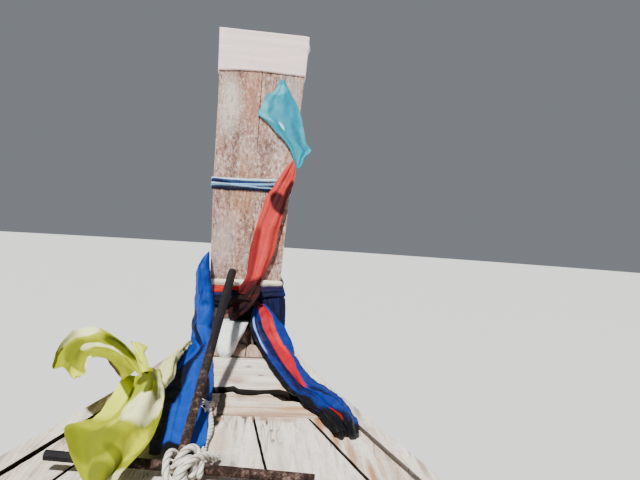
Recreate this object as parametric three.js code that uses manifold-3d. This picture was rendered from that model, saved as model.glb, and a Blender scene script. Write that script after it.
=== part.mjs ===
// Longtail boat: a planked wooden hull with a tall stem post, a canopy and a swivelling long-shaft engine.
// Millimetres. +X forward, +Y to port, +Z up. The origin is on the waterline, amidships.
import * as THREE from "three";
import Module from "manifold-3d";
import { mergeVertices } from "three/addons/utils/BufferGeometryUtils.js";

const wasm = await Module();
wasm.setup();

// Driving sizes.
const GAP = 0.6;                    // play between touching pieces
const TRANSOM_X = -4800;
const POST_X = 4800;                // aft face of the post at deck height
const DECK_Z = 1100;                // deck height at the post
const PLANK = 25;
const GUNWALE = { width: 42, height: 50, proud: 5 };
const COVER_WIDTH = 80;
const DECK_THICK = 26;
const KEEL = { half: 40, depth: 62 };
const STRAKES = 5;

const POST = { top: 2122, rake: 0.24, lean: 7, halfAtDeck: 97, halfAtTop: 152, depthAtDeck: 205,
  depthAtTop: 105 };
const CAP = { bottom: 1977, wall: 4, rise: 3 };

const CANOPY = { posts: [-2150, -950, 250, 1450], railY: 870, railZ: 1830, crown: 230, tube: 17, cloth: 5 };
const BENCHES = [-2700, -1500, -300, 900, 2000];
const FLOOR_Z = 20;

const ENGINE = { x: -4620, z: 1010, tilt: 19, shaftDrop: 30 };
const TAIL = { length: 3250, radius: 38 };
const PROP = { radius: 150, blades: 3 };

// Half breadth over the gunwale and height of the deck edge along the hull.
const SHEER = [
  { x: -4800, beam: 660, height: 650 },
  { x: -4000, beam: 800, height: 618 },
  { x: -3000, beam: 930, height: 603 },
  { x: -1500, beam: 1040, height: 622 },
  { x: 0, beam: 1050, height: 690 },
  { x: 1000, beam: 1010, height: 770 },
  { x: 2000, beam: 900, height: 865 },
  { x: 2800, beam: 750, height: 938 },
  { x: 3400, beam: 590, height: 988 },
  { x: 3800, beam: 465, height: 1020 },
  { x: 4200, beam: 326, height: 1052 },
  { x: 4500, beam: 222, height: 1076 },
  { x: 4690, beam: 173, height: 1091 },
  { x: 4800, beam: 152, height: 1100 },
  { x: 4960, beam: 135, height: 1113 },
];

// Bottom of the planking on the centreline, and how round the section is (1 = a V, 2 = an ellipse).
const BOTTOM = [
  { x: -4800, depth: -70, round: 2.1 },
  { x: -4000, depth: -180, round: 2.3 },
  { x: -2500, depth: -275, round: 2.4 },
  { x: -1000, depth: -304, round: 2.4 },
  { x: 1000, depth: -303, round: 2.2 },
  { x: 2200, depth: -301, round: 1.8 },
  { x: 3200, depth: -300, round: 1.45 },
  { x: 4200, depth: -200, round: 1.25 },
  { x: 4960, depth: 0, round: 1.2 },
];

// The line on which the planks land along the stem, from forefoot to head.
const STEM = { foot: [3200, -300], bend: [4480, -250], head: [4955, 1066] };

// Small maths.
const lerp = (a, b, t) => a + (b - a) * t;
const clamp = (v, low, high) => Math.min(high, Math.max(low, v));
const smooth = (t) => t * t * (3 - 2 * t);
const radians = (degrees) => (degrees * Math.PI) / 180;

// A smooth curve through a table's rows, with no overshoot between them.
function along(table, key, x) {
  const last = table.length - 1;
  if (x <= table[0].x) return table[0][key];
  if (x >= table[last].x) return table[last][key];
  let i = 0;
  while (x > table[i + 1].x) i += 1;
  const slope = (a, b) => (table[b][key] - table[a][key]) / (table[b].x - table[a].x);
  const tangent = (k) => {
    if (k === 0) return slope(0, 1);
    if (k === last) return slope(last - 1, last);
    const before = slope(k - 1, k);
    const after = slope(k, k + 1);
    return before * after <= 0 ? 0 : (2 * before * after) / (before + after);
  };
  const span = table[i + 1].x - table[i].x;
  const t = (x - table[i].x) / span;
  const near = table[i][key] * (1 + 2 * t) * (1 - t) ** 2 + span * tangent(i) * t * (1 - t) ** 2;
  return near + table[i + 1][key] * t * t * (3 - 2 * t) + span * tangent(i + 1) * t * t * (t - 1);
}

const beamAt = (x) => along(SHEER, "beam", x);
const deckAt = (x) => along(SHEER, "height", x);

// Solids.
// A closed body through rings of points; every ring has the same even count.
function loft(rings) {
  const count = rings[0].length;
  const positions = rings.flat(2);
  const index = [];
  for (let r = 0; r + 1 < rings.length; r += 1) {
    for (let i = 0; i < count; i += 1) {
      const a = r * count + i;
      const b = r * count + ((i + 1) % count);
      index.push(a, b, b + count, a, b + count, a + count);
    }
  }
  const end = (rings.length - 1) * count;
  for (let i = 0; i + 1 < count / 2; i += 1) {
    const far = count - 1 - i;
    index.push(i, far, i + 1, i + 1, far, far - 1);
    index.push(end + i, end + i + 1, end + far, end + i + 1, end + far - 1, end + far);
  }
  const geometry = new THREE.BufferGeometry();
  geometry.setAttribute("position", new THREE.Float32BufferAttribute(positions, 3));
  geometry.setIndex(index);
  return outward(geometry);
}

// Turns the triangles over where the body came out inside out.
function outward(geometry) {
  const p = geometry.attributes.position;
  const index = geometry.index.array;
  const corner = (k) => new THREE.Vector3().fromBufferAttribute(p, index[k]);
  let volume = 0;
  for (let i = 0; i < index.length; i += 3) {
    volume += corner(i).dot(corner(i + 1).cross(corner(i + 2)));
  }
  if (volume < 0) {
    for (let i = 0; i < index.length; i += 3) {
      [index[i + 1], index[i + 2]] = [index[i + 2], index[i + 1]];
    }
  }
  return geometry;
}

function box(x0, x1, y0, y1, z0, z1) {
  const ring = (x) => [[x, y0, z0], [x, y1, z0], [x, y1, z1], [x, y0, z1]];
  return loft([ring(x0), ring(x1)]);
}

// A round bar between two points; the radius may change from one to the other.
function rod(from, to, radius, radiusTo = radius, sides = 12) {
  const a = new THREE.Vector3(...from);
  const b = new THREE.Vector3(...to);
  return pipe([a, b], [radius, radiusTo], sides);
}

// A round bar through points, one radius each, with mitred corners.
function pipe(points, radii, sides = 12) {
  const path = points.map((p) => (p.isVector3 ? p : new THREE.Vector3(...p)));
  const first = path[1].clone().sub(path[0]).normalize();
  let across = new THREE.Vector3(0, 0, 1).cross(first);
  if (across.length() < 0.1) across = new THREE.Vector3(1, 0, 0).cross(first);
  across.normalize();
  const rings = path.map((p, i) => {
    const before = path[Math.max(0, i - 1)];
    const after = path[Math.min(path.length - 1, i + 1)];
    const going = after.clone().sub(before).normalize();
    across.sub(going.clone().multiplyScalar(across.dot(going))).normalize();
    const up = going.clone().cross(across);
    return Array.from({ length: sides }, (_, k) => {
      const angle = (2 * Math.PI * (k + 0.5)) / sides;
      const out = across.clone().multiplyScalar(Math.cos(angle)).addScaledVector(up, Math.sin(angle));
      return p.clone().addScaledVector(out, radii[i]).toArray();
    });
  });
  return loft(rings);
}

// A flat outline of [a, b] points pushed through a thickness; place(a, b, c) gives the point in space.
function slab(outline, c0, c1, place) {
  const shape = new THREE.Shape(outline.map(([a, b]) => new THREE.Vector2(a, b)));
  const flat = new THREE.ExtrudeGeometry(shape, { depth: c1 - c0, bevelEnabled: false });
  const p = flat.attributes.position;
  for (let i = 0; i < p.count; i += 1) {
    p.setXYZ(i, ...place(p.getX(i), p.getY(i), p.getZ(i) + c0));
  }
  return outward(welded(flat));
}

function welded(geometry) {
  const bare = geometry.clone();
  bare.deleteAttribute("normal");
  bare.deleteAttribute("uv");
  return mergeVertices(bare, 0.001);
}

// A body turned from a profile of [radius, height] points, about Z.
function turned(profile, sides = 16) {
  const lathe = new THREE.LatheGeometry(profile.map(([r, h]) => new THREE.Vector2(r, h)), sides);
  lathe.rotateX(Math.PI / 2);
  return outward(welded(lathe));
}

function toManifold(geometry) {
  const bare = welded(geometry);
  const vertProperties = new Float32Array(bare.attributes.position.array);
  const triVerts = new Uint32Array(bare.index.array);
  return new wasm.Manifold(new wasm.Mesh({ numProp: 3, vertProperties, triVerts }));
}

function fromManifold(body) {
  const mesh = body.getMesh();
  const geometry = new THREE.BufferGeometry();
  geometry.setAttribute("position", new THREE.Float32BufferAttribute(mesh.vertProperties, 3));
  geometry.setIndex([...mesh.triVerts]);
  return geometry;
}

const join = (pieces) => fromManifold(pieces.map(toManifold).reduce((all, one) => all.add(one)));

function cut(body, tools) {
  return fromManifold(tools.map(toManifold).reduce((all, one) => all.subtract(one), toManifold(body)));
}

// The hull's surface.
function stemAt(t) {
  const [x0, z0] = STEM.foot;
  const [x1, z1] = STEM.bend;
  const [x2, z2] = STEM.head;
  const point = (a, b, c) => a * (1 - t) ** 2 + 2 * b * t * (1 - t) + c * t * t;
  const going = (a, b, c) => 2 * (b - a) * (1 - t) + 2 * (c - b) * t;
  const dx = going(x0, x1, x2);
  const dz = going(z0, z1, z2);
  const size = Math.hypot(dx, dz);
  return { x: point(x0, x1, x2), z: point(z0, z1, z2), outX: dz / size, outZ: -dx / size };
}

// Where along the stem line it passes a given x.
function stemParameter(x) {
  const a = STEM.foot[0] - 2 * STEM.bend[0] + STEM.head[0];
  const b = 2 * (STEM.bend[0] - STEM.foot[0]);
  const c = STEM.foot[0] - x;
  return clamp((-b + Math.sqrt(Math.max(0, b * b - 4 * a * c))) / (2 * a), 0, 1);
}

const bottomAt = (x) => (x > STEM.foot[0] ? stemAt(stemParameter(x)).z : along(BOTTOM, "depth", x));
const stemHalf = (x) => 12 + (POST.halfAtDeck - 12) * smooth(clamp((x - 3200) / 1755, 0, 1));
const landing = (x) => stemHalf(x) + PLANK + 4;

const plankTop = (x) => deckAt(x) - GUNWALE.height + GUNWALE.proud - 3;
const sectionPower = (x) => 2 / along(BOTTOM, "round", x);
const riseAt = (x, angle) => 1 - Math.max(0, Math.cos(angle)) ** sectionPower(x);

// Outer face of the planking at x, from keel (rise 0) to deck edge (rise 1).
function faceAt(x, rise) {
  const top = plankTop(x);
  const half = beamAt(x) - 8;
  const cosine = (1 - rise) ** (1 / sectionPower(x));
  const out = Math.sqrt(Math.max(0, 1 - cosine * cosine)) ** sectionPower(x);
  return { y: lerp(Math.min(landing(x), half), half, out), z: lerp(Math.min(bottomAt(x), top), top, rise) };
}

// The same at an angle from keel (0) to deck edge (90 degrees).
const section = (x, angle) => faceAt(x, riseAt(x, angle));

// A point of the planking: s runs from transom to stem, g from keel to deck edge.
function plankPoint(s, g) {
  const end = stemAt(g ** 0.9);
  const x = lerp(TRANSOM_X, end.x, s);
  const low = bottomAt(x);
  const onStem = clamp((end.z - low) / (plankTop(x) - low), 0, 1);
  const rise = lerp(riseAt(x, (g * Math.PI) / 2), onStem, smooth(clamp((s - 0.45) / 0.55, 0, 1)));
  const { y, z } = faceAt(x, g <= 0 ? 0 : g >= 1 ? 1 : rise);
  return new THREE.Vector3(x, y, z);
}

function plankInward(s, g) {
  const step = 0.004;
  const ahead = plankPoint(Math.min(1, s + step), g).sub(plankPoint(Math.max(0, s - step), g));
  const upward = plankPoint(s, Math.min(1, g + step)).sub(plankPoint(s, Math.max(0, g - step)));
  return ahead.cross(upward).normalize();
}

// Hull pieces.
// Stations run from transom (0) to stem (1). The middle strake is butted at one of them.
const ALONG = [0, 0.06, 0.13, 0.21, 0.29, 0.37, 0.45, 0.53, 0.6, 0.67, 0.73, 0.79, 0.84, 0.885, 0.925, 0.96,
  1];
const BUTT = { strake: 2, station: 3, gap: 0.00004 };
const AFT_OF_BUTT = [...ALONG.slice(0, BUTT.station), ALONG[BUTT.station] - BUTT.gap];
const FORE_OF_BUTT = [ALONG[BUTT.station] + BUTT.gap, ...ALONG.slice(BUTT.station + 1)];

function strake(number, side, stations = ALONG) {
  const seam = 0.0035;
  const low = number / STRAKES + (number > 0 ? seam : 0);
  const high = (number + 1) / STRAKES;
  const across = [0, 1, 2, 3].map((i) => lerp(low, high, i / 3));
  const rings = stations.map((s) => {
    const outer = across.map((g) => plankPoint(s, g));
    const inner = across.map((g) => {
      const inward = plankInward(clamp(s, 0.01, 0.97), clamp(g, 0.03, 0.97));
      if (inward.y > 0) inward.negate();
      if (g === 1) {
        return plankPoint(s, g).add(new THREE.Vector3(0, PLANK / Math.min(-0.8, inward.y), 0));
      }
      return plankPoint(s, g).addScaledVector(inward, PLANK);
    });
    return [...outer, ...inner.reverse()].map((p) => [p.x, p.y * side, p.z]);
  });
  return loft(rings);
}

// The gunwale cap with its rubbing edge, along one side.
function gunwale(side) {
  const stations = [-4830, -4300, -3700, -3000, -2200, -1400, -600, 200, 1000, 1700, 2300, 2850, 3200, 3600,
    3830, 3960, 4150, 4308, 4450, 4670, 4800, 4870];
  return loft(stations.map((x) => {
    const beam = beamAt(x);
    const top = deckAt(x) + GUNWALE.proud;
    const profile = [
      [beam - GUNWALE.width, top], [beam - 6, top], [beam, top - 8], [beam, top - GUNWALE.height],
      [beam - 3, top - GUNWALE.height + 1], [beam - GUNWALE.width, top - GUNWALE.height + 1],
    ];
    return profile.map(([y, z]) => [x, y * side, z]);
  }));
}

function keel() {
  const stations = ALONG.map((s) => lerp(TRANSOM_X, STEM.foot[0] - 3, s));
  const web = loft([-4740, ...stations.slice(1)].map((x) => {
    const z = bottomAt(x);
    const half = stemHalf(x);
    return [[x, -half, z - 10], [x, half, z - 10], [x, half, z + 24], [x, -half, z + 24]];
  }));
  const foot = loft([-4840, ...stations].map((x) => {
    const z = bottomAt(Math.max(x, TRANSOM_X));
    const half = KEEL.half + 6;
    const low = z - KEEL.depth;
    return [[x, -half + 8, low], [x, half - 8, low], [x, half, z - 4], [x, -half, z - 4]];
  }));
  return join([web, foot]);
}

// Half width, middle and fore-and-aft faces of the post above the deck. It leans to starboard near its head.
function postSection(z) {
  const t = (z - DECK_Z) / (POST.top - DECK_Z);
  const aft = POST_X + POST.rake * (z - DECK_Z);
  const depth = lerp(POST.depthAtDeck, POST.depthAtTop, clamp(t, 0, 1));
  const mid = -POST.lean * clamp((z - 1600) / 300, 0, 1);
  return { aft, front: aft + depth, mid, half: lerp(POST.halfAtDeck, POST.halfAtTop, Math.max(0, t)) };
}

// The stem from the forefoot up to the head of the tall post, with a rounded front edge.
function stemPost() {
  const rings = [];
  for (const t of [0, 0.12, 0.25, 0.38, 0.5, 0.62, 0.74, 0.86, 0.95]) {
    const p = stemAt(t);
    const half = stemHalf(p.x);
    const deep = lerp(60, 150, t * t);
    const inner = [p.x - p.outX * deep, p.z - p.outZ * deep];
    const outer = [p.x + p.outX * 62, p.z + p.outZ * 62];
    const nose = lerp(38, 60, t);
    const blunt = [p.x + p.outX * 40, p.z + p.outZ * 40];
    rings.push([[inner[0], half, inner[1]], [blunt[0], Math.max(half, 20), blunt[1]],
      [outer[0], Math.min(nose, Math.max(half, 20) - 4), outer[1]],
      [outer[0], -Math.min(nose, Math.max(half, 20) - 4), outer[1]],
      [blunt[0], -Math.max(half, 20), blunt[1]], [inner[0], -half, inner[1]]]);
  }
  for (const z of [DECK_Z + 20, 1300, 1450, 1600, 1750, 1900, 2020, POST.top]) {
    const { aft, front, mid, half } = postSection(z);
    const nose = half * 0.62;
    rings.push([[aft, mid + half, z], [front - 32, mid + half, z], [front, mid + nose, z],
      [front, mid - nose, z], [front - 32, mid - half, z], [aft, mid - half, z]]);
  }
  return loft(rings);
}

// The pale band round the head of the post: a cap with a closed top.
function stemCap() {
  const ring = (z, grow) => {
    const { aft, front, mid, half } = postSection(z);
    const side = half + grow;
    const nose = half * 0.62 + grow;
    return [[aft - grow, mid + side, z], [front - 32 + grow, mid + side, z], [front + grow, mid + nose, z],
      [front + grow, mid - nose, z], [front - 32 + grow, mid - side, z], [aft - grow, mid - side, z]];
  };
  const outside = loft([ring(CAP.bottom, CAP.wall + 1), ring(POST.top + CAP.rise + 3, CAP.wall + 1)]);
  const inside = loft([ring(CAP.bottom - 10, 1), ring(POST.top + 1, 1)]);
  return cut(outside, [inside]);
}

// The white knee between the deck and the aft face of the post.
const KNEE = [
  { up: 2, toe: 4674, low: 2, high: 60 },
  { up: 12, toe: 4664, low: 0, high: 66 },
  { up: 32, toe: 4674, low: -6, high: 68 },
  { up: 50, toe: 4716, low: -16, high: 70 },
  { up: 66, toe: 4770, low: -20, high: 70 },
];

function stemKnee() {
  return loft(KNEE.map(({ up, toe, low, high }) => {
    const face = postSection(DECK_Z + up).aft - 1;
    const fore = DECK_Z + up;
    const aft = deckAt(toe) + up;
    return [[toe, low, aft], [face, low, fore], [face, high, fore], [toe, high, aft]];
  }));
}

// A deck board between two edges, following the sheer.
function deckBoard(stations, low, high, thick = DECK_THICK) {
  return loft(stations.map((x) => {
    const top = deckAt(x);
    return [[x, low(x), top - thick], [x, high(x), top - thick], [x, high(x), top], [x, low(x), top]];
  }));
}

const insideGunwale = (x) => beamAt(x) - GUNWALE.width - 2.5;
const insideCover = (x) => insideGunwale(x) - COVER_WIDTH - 2;
const FORE = { block: [4672, 4785], first: [4447, 4669], second: [4311, 4418], aftEnd: 2850, seam: -60,
  inner: 320 };
const LONG = [4308, 4150, 3960, 3830, 3600, 3200, FORE.aftEnd];

const crossBoard = ([aft, fore], thick) =>
  deckBoard([aft, (aft + fore) / 2, fore], (x) => -insideGunwale(x), insideGunwale, thick);

function longBoard(side) {
  const edge = (x) => Math.min(insideCover(x), FORE.inner - 1);
  if (side > 0) return deckBoard(LONG, () => FORE.seam + 1, edge);
  return deckBoard(LONG, (x) => -edge(x), () => FORE.seam - 1);
}

function outerBoard(side) {
  return deckBoard([3830, 3600, 3200, FORE.aftEnd], (x) => (side > 0 ? FORE.inner + 1 : -insideCover(x)),
    (x) => (side > 0 ? insideCover(x) : -FORE.inner - 1));
}

function coveringBoard(side) {
  const near = (x) => insideCover(x) + 2;
  if (side > 0) return deckBoard(LONG, near, insideGunwale);
  return deckBoard(LONG, (x) => -insideGunwale(x), (x) => -near(x));
}

// A point inside the planking, a depth in from its outer face, at an angle from keel to deck edge.
function inside(x, angle, depth) {
  const step = 0.01;
  const here = section(x, angle);
  const before = section(x, Math.max(0, angle - step));
  const after = section(x, Math.min(Math.PI / 2, angle + step));
  const dy = after.y - before.y;
  const dz = after.z - before.z;
  const size = Math.hypot(dy, dz) || 1;
  return { y: here.y - (dz / size) * depth, z: here.z + (dy / size) * depth };
}

// Half breadth inside the planking at a height.
function insideHalf(x, z, depth) {
  let low = 0.02;
  let high = Math.PI / 2;
  for (let i = 0; i < 30; i += 1) {
    const middle = (low + high) / 2;
    if (inside(x, middle, depth).z < z) low = middle;
    else high = middle;
  }
  return inside(x, low, depth).y;
}

function transom() {
  const angles = [90, 78, 66, 54, 42, 30, 18, 8].map(radians);
  const ring = (x) => {
    const edge = angles.map((a) => inside(TRANSOM_X, a, PLANK + 3));
    const port = edge.map(({ y, z }) => [x, y, Math.min(z, 600)]);
    return [...port, ...port.map(([px, y, z]) => [px, -y, z]).reverse()];
  };
  return loft([ring(TRANSOM_X + 2), ring(TRANSOM_X + 40)]);
}

// Frames, floor and benches.
const RIB = { offset: PLANK + 11, deep: 42, half: 17 };
const RIBS = [-4250, -3700, -3100, -2300, -1900, -1150, -700, 50, 450, 1250, 1650, 2350, 2900, 3500, 4050];
const DECK_BEAMS = [2900, 3500, 4050];

function rib(x) {
  const offset = RIB.offset + (x > 2600 ? 12 : 0);
  const floor = bottomAt(x) + (x > STEM.foot[0] ? 105 : 30);
  let first = radians(3);
  while (inside(x, first, offset).z < floor) first += radians(0.5);
  const steps = 6;
  const angles = Array.from({ length: steps + 1 }, (_, i) => lerp(first, radians(85), i / steps));
  const corner = (a, depth, side, dx) => {
    const { y, z } = inside(x, a, depth);
    return [x + dx, Math.max(y, 1) * side, z];
  };
  const ring = (a, side) => [
    corner(a, offset, side, -RIB.half), corner(a, offset, side, RIB.half),
    corner(a, offset + RIB.deep, side, RIB.half), corner(a, offset + RIB.deep, side, -RIB.half),
  ];
  return loft([...angles.map((a) => ring(a, 1)).reverse(), ...angles.map((a) => ring(a, -1))]);
}

function keelson() {
  return loft([-4700, -3800, -2800, -1500, 0, 1500, 2400, 3150, 3500, 3800, 4060].map((x) => {
    const z = bottomAt(x) + (x > STEM.foot[0] ? 108 : 55);
    return [[x, -32, z], [x, 32, z], [x, 32, z + 55], [x, -32, z + 55]];
  }));
}

function frames() {
  const beams = DECK_BEAMS.map((x) => {
    const top = deckAt(x) - DECK_THICK - 4;
    const half = insideHalf(x, top - 30, RIB.offset + 22);
    return box(x - 20, x + 20, -half, half, top - 60, top);
  });
  return join([...RIBS.map(rib), keelson(), ...beams]);
}

const floorHalf = (x) => insideHalf(x, FLOOR_Z, RIB.offset + RIB.deep + 6);

function floorboards() {
  return loft([-3900, -3000, -2000, -1000, 0, 1000, 1700, 2300].map((x) => {
    const half = floorHalf(x);
    return [[x, -half, FLOOR_Z], [x, half, FLOOR_Z], [x, half, FLOOR_Z + 22], [x, -half, FLOOR_Z + 22]];
  }));
}

const BENCH = { below: 230, thick: 30, half: 120, riserDeep: 70, riserThick: 26 };

function bench(x) {
  const top = deckAt(x) - BENCH.below;
  const end = (at) => insideHalf(at, top - BENCH.thick, PLANK + 8) - 4;
  return loft([x - BENCH.half, x, x + BENCH.half].map((at) => {
    const half = end(at);
    return [[at, -half, top - BENCH.thick], [at, half, top - BENCH.thick], [at, half, top], [at, -half, top]];
  }));
}

function riser(side) {
  return loft([-3000, -2300, -1500, -700, 0, 700, 1400, 2180].map((x) => {
    const top = deckAt(x) - BENCH.below - BENCH.thick + 4;
    const outer = insideHalf(x, top - BENCH.riserDeep, RIB.offset + RIB.deep + 5);
    const inner = outer - BENCH.riserThick;
    return [[x, outer * side, top - BENCH.riserDeep], [x, outer * side, top], [x, inner * side, top],
      [x, inner * side, top - BENCH.riserDeep]];
  }));
}

const benches = () => join([...BENCHES.map(bench), riser(1), riser(-1)]);

// The boatman's deck, and the heavy beam that the engine turns on.
const STERN = { beamAft: -4720, beamFore: -4520, beamTop: 655, beamLow: 545, deckTop: 520, deckFore: -3950 };

function aftDeck() {
  return loft([STERN.beamFore + 2, -4200, STERN.deckFore].map((x) => {
    const half = insideHalf(x, STERN.deckTop - 30, RIB.offset + RIB.deep + 4);
    return [[x, -half, STERN.deckTop - 30], [x, half, STERN.deckTop - 30], [x, half, STERN.deckTop],
      [x, -half, STERN.deckTop]];
  }));
}

function sternBeam() {
  const low = (x) => insideHalf(x, STERN.beamLow, PLANK + 8) - 4;
  const timber = loft([STERN.beamAft, STERN.beamFore].map((x) => {
    const half = Math.min(low(x), beamAt(x) - GUNWALE.width - 3);
    return [[x, -half, STERN.beamLow], [x, half, STERN.beamLow], [x, half, STERN.beamTop],
      [x, -half, STERN.beamTop]];
  }));
  return cut(timber, [rod([ENGINE.x, 0, 500], [ENGINE.x, 0, 700], YOKE.pin + 0.9, YOKE.pin + 0.9, 24)]);
}

// Canopy.
const canopyX = [CANOPY.posts[0] - 150, CANOPY.posts.at(-1) + 150];
const bowZ = (y) => CANOPY.railZ + 34 + CANOPY.crown * Math.cos((Math.PI * y) / 2 / 920);
const bowY = Array.from({ length: 11 }, (_, i) => lerp(-890, 890, i / 10));

function canopySide(side) {
  const posts = CANOPY.posts.map((x) => rod([x, (beamAt(x) - 21) * side, deckAt(x) + GUNWALE.proud + 6],
    [x, CANOPY.railY * side, CANOPY.railZ], CANOPY.tube));
  const y = CANOPY.railY * side;
  return join([...posts, rod([canopyX[0], y, CANOPY.railZ], [canopyX[1], y, CANOPY.railZ], CANOPY.tube)]);
}

function canopyBows() {
  const stations = CANOPY.posts.flatMap((x, i) => (i === 0 ? [x] : [(x + CANOPY.posts[i - 1]) / 2, x]));
  const bows = stations.map((x) => pipe(bowY.map((y) => [x, y, bowZ(y)]), bowY.map(() => 13), 8));
  const batten = (x, y) => [x, y, bowZ(y) - 4];
  const [aft, fore] = [canopyX[0] + 60, canopyX[1] - 60];
  const battens = [-590, 0, 590].map((y) => rod(batten(aft, y), batten(fore, y), 11, 11, 8));
  return join([...bows, ...battens]);
}

// The cloth over the bows, with a short valance down each side.
function canopyCloth() {
  const arch = (lift) => [[-908 - lift, 1735], [-908 - lift, bowZ(890) + 8], ...bowY
    .map((y) => [y, bowZ(y) + 17 + lift]), [908 + lift, bowZ(890) + 8], [908 + lift, 1735]];
  const ring = (x) => [...arch(0), ...arch(CANOPY.cloth).reverse()].map(([y, z]) => [x, y, z]);
  return loft([0, 1 / 3, 2 / 3, 1].map((t) => ring(lerp(canopyX[0], canopyX[1], t))));
}

function fuelTank() {
  const body = loft([42.8, 60, 360, 385].map((z, i) => {
    const inset = i === 0 || i === 3 ? 14 : 0;
    const [x0, x1, y0, y1] = [-3640 + inset, -3340 - inset, -420 + inset, -200 - inset];
    return [[x0, y0, z], [x1, y0, z], [x1, y1, z], [x0, y1, z]];
  }));
  return join([body, rod([-3400, -310, 380], [-3400, -310, 412], 28)]);
}

// Swivel.
const YOKE = { pin: 25, post: 45, ear: [238, 258], bore: 20.8, baseLow: 760, baseTop: 790, earTop: 1062 };

// The yoke stands on the stern beam on one pin, and holds the engine's cradle between two ears.
function swivelYoke() {
  const { x, z } = ENGINE;
  const [near, far] = YOKE.ear;
  const ear = (side) => slab([[-45, YOKE.baseLow], [45, YOKE.baseLow], [45, z + 20], [28, YOKE.earTop - 10],
    [0, YOKE.earTop], [-28, YOKE.earTop - 10], [-45, z + 20]], near, far, (a, b, c) => [x + a, c * side, b]);
  const base = box(x - 45, x + 45, -far + 1, far - 1, YOKE.baseLow, YOKE.baseTop);
  const post = rod([x, 0, STERN.beamTop + GAP], [x, 0, YOKE.baseLow + 5], YOKE.post, YOKE.post, 20);
  const foot = rod([x, 0, STERN.beamTop + GAP], [x, 0, STERN.beamTop + 22], 78, 62, 20);
  const pin = rod([x, 0, STERN.beamLow + 6], [x, 0, STERN.beamTop + 10], YOKE.pin, YOKE.pin, 24);
  const body = join([ear(1), ear(-1), base, post, foot, pin]);
  return cut(body, [rod([x, -far - 20, z], [x, far + 20, z], YOKE.bore, YOKE.bore, 24)]);
}

// Engine, in its own frame.
// The origin is on the tilt pins. X runs forward along the crankshaft; Z is up when the shaft is level.
const CRADLE = { rail: [188, 230], low: -150, high: -108, aft: -200, fore: 665, pin: 20 };
const BLOCK = { aft: -60, fore: 560, half: 130, low: -195, high: 180 };

function cradle() {
  const [near, far] = CRADLE.rail;
  const bothSides = (make) => [make(1), make(-1)];
  const rails = bothSides((s) => box(CRADLE.aft, CRADLE.fore, Math.min(near * s, far * s),
    Math.max(near * s, far * s), CRADLE.low, CRADLE.high));
  const cheek = [[-95, CRADLE.high - 5], [95, CRADLE.high - 5], [34, 34], [-34, 34]];
  const cheeks = bothSides((s) => slab(cheek, 214, 229, (a, b, c) => [a, c * s, b]));
  const pins = bothSides((s) => rod([0, 218 * s, 0], [0, 268 * s, 0], CRADLE.pin, CRADLE.pin, 24));
  const foreBar = box(CRADLE.fore - 42, CRADLE.fore, -far, far, CRADLE.low, CRADLE.high);
  const aftBar = box(CRADLE.aft, CRADLE.aft + 42, -far, far, CRADLE.low, CRADLE.low + 24);
  return join([...rails, ...cheeks, ...pins, foreBar, aftBar]);
}

function engineBlock() {
  const { aft, fore, half, low, high } = BLOCK;
  const crankcase = box(aft, fore, -half, half, -90, high);
  const sump = loft([[aft + 150, 0], [aft + 170, 12], [fore - 20, 12], [fore, 0]].map(([x, drop]) => {
    const z = low + 12 - drop;
    return [[x, -half + 30, z], [x, half - 30, z], [x, half - 12, -85], [x, -half + 12, -85]];
  }));
  const housing = turned([[0, 0], [138, 0], [138, 40], [78, 135], [0, 135]], 20).rotateY(-Math.PI / 2)
    .translate(aft + 5, 0, -ENGINE.shaftDrop + 10);
  const feet = [60, 455].map((x) => box(x, x + 60, -208, 208, CRADLE.high + GAP, CRADLE.high + 40));
  const ribs = [20, 150, 280, 410, 520].map((x) => box(x, x + 14, -half - 8, half + 8, -60, high - 20));
  return join([crankcase, sump, housing, ...feet, ...ribs]);
}

function engineHead() {
  const head = box(-40, 545, -98, 98, BLOCK.high + GAP, 262);
  const cover = loft([[-10, 258], [-4, 318], [510, 318], [516, 258]].map(([x, z], i) => {
    const wide = i === 0 || i === 3 ? 62 : 70;
    return [[x, -wide, 255], [x, wide, 255], [x, wide - 16, z + 2], [x, -wide + 16, z + 2]];
  }));
  const filler = rod([430, 0, 300], [430, 0, 345], 24);
  return join([head, cover, filler]);
}

function exhaust() {
  const manifold = box(20, 500, 140, 184, 70, 130);
  const ports = [70, 200, 330, 450].map((x) => box(x - 20, x + 20, 140, 166, 60, 150));
  const route = [[40, 168, 100], [-90, 174, 110], [-190, 185, 190], [-215, 190, 300], [-215, 190, 660],
    [-260, 190, 720]];
  const stack = pipe(route, route.map(() => 27));
  const silencer = rod([-215, 190, 330], [-215, 190, 590], 52, 52, 16);
  return join([manifold, ...ports, stack, silencer]);
}

function pulleys() {
  const rim = (radius) => [[0, 0], [radius, 0], [radius - 9, 11], [radius, 22], [0, 22]];
  const wheel = (radius, y, z) => turned(rim(radius), 20).rotateY(Math.PI / 2)
    .translate(BLOCK.fore + 22, y, z);
  const shaft = (radius, y, z) => rod([BLOCK.fore + GAP, y, z], [BLOCK.fore + 30, y, z], radius);
  const outline = new THREE.Shape();
  outline.moveTo(-78, -42);
  outline.absarc(0, -30, 78, Math.PI + 0.15, 2 * Math.PI - 0.5, false);
  outline.lineTo(58, 150);
  outline.absarc(0, 140, 56, 0.1, Math.PI - 0.1, false);
  outline.closePath();
  const flat = new THREE.ExtrudeGeometry(outline, { depth: 9, bevelEnabled: false, curveSegments: 10 });
  const p = flat.attributes.position;
  for (let i = 0; i < p.count; i += 1) {
    p.setXYZ(i, BLOCK.fore + 28 + p.getZ(i), p.getX(i), p.getY(i));
  }
  const belt = outward(welded(flat));
  return join([wheel(80, 0, -30), wheel(58, 0, 140), shaft(22, 0, -30), shaft(20, 0, 140), belt]);
}

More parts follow.
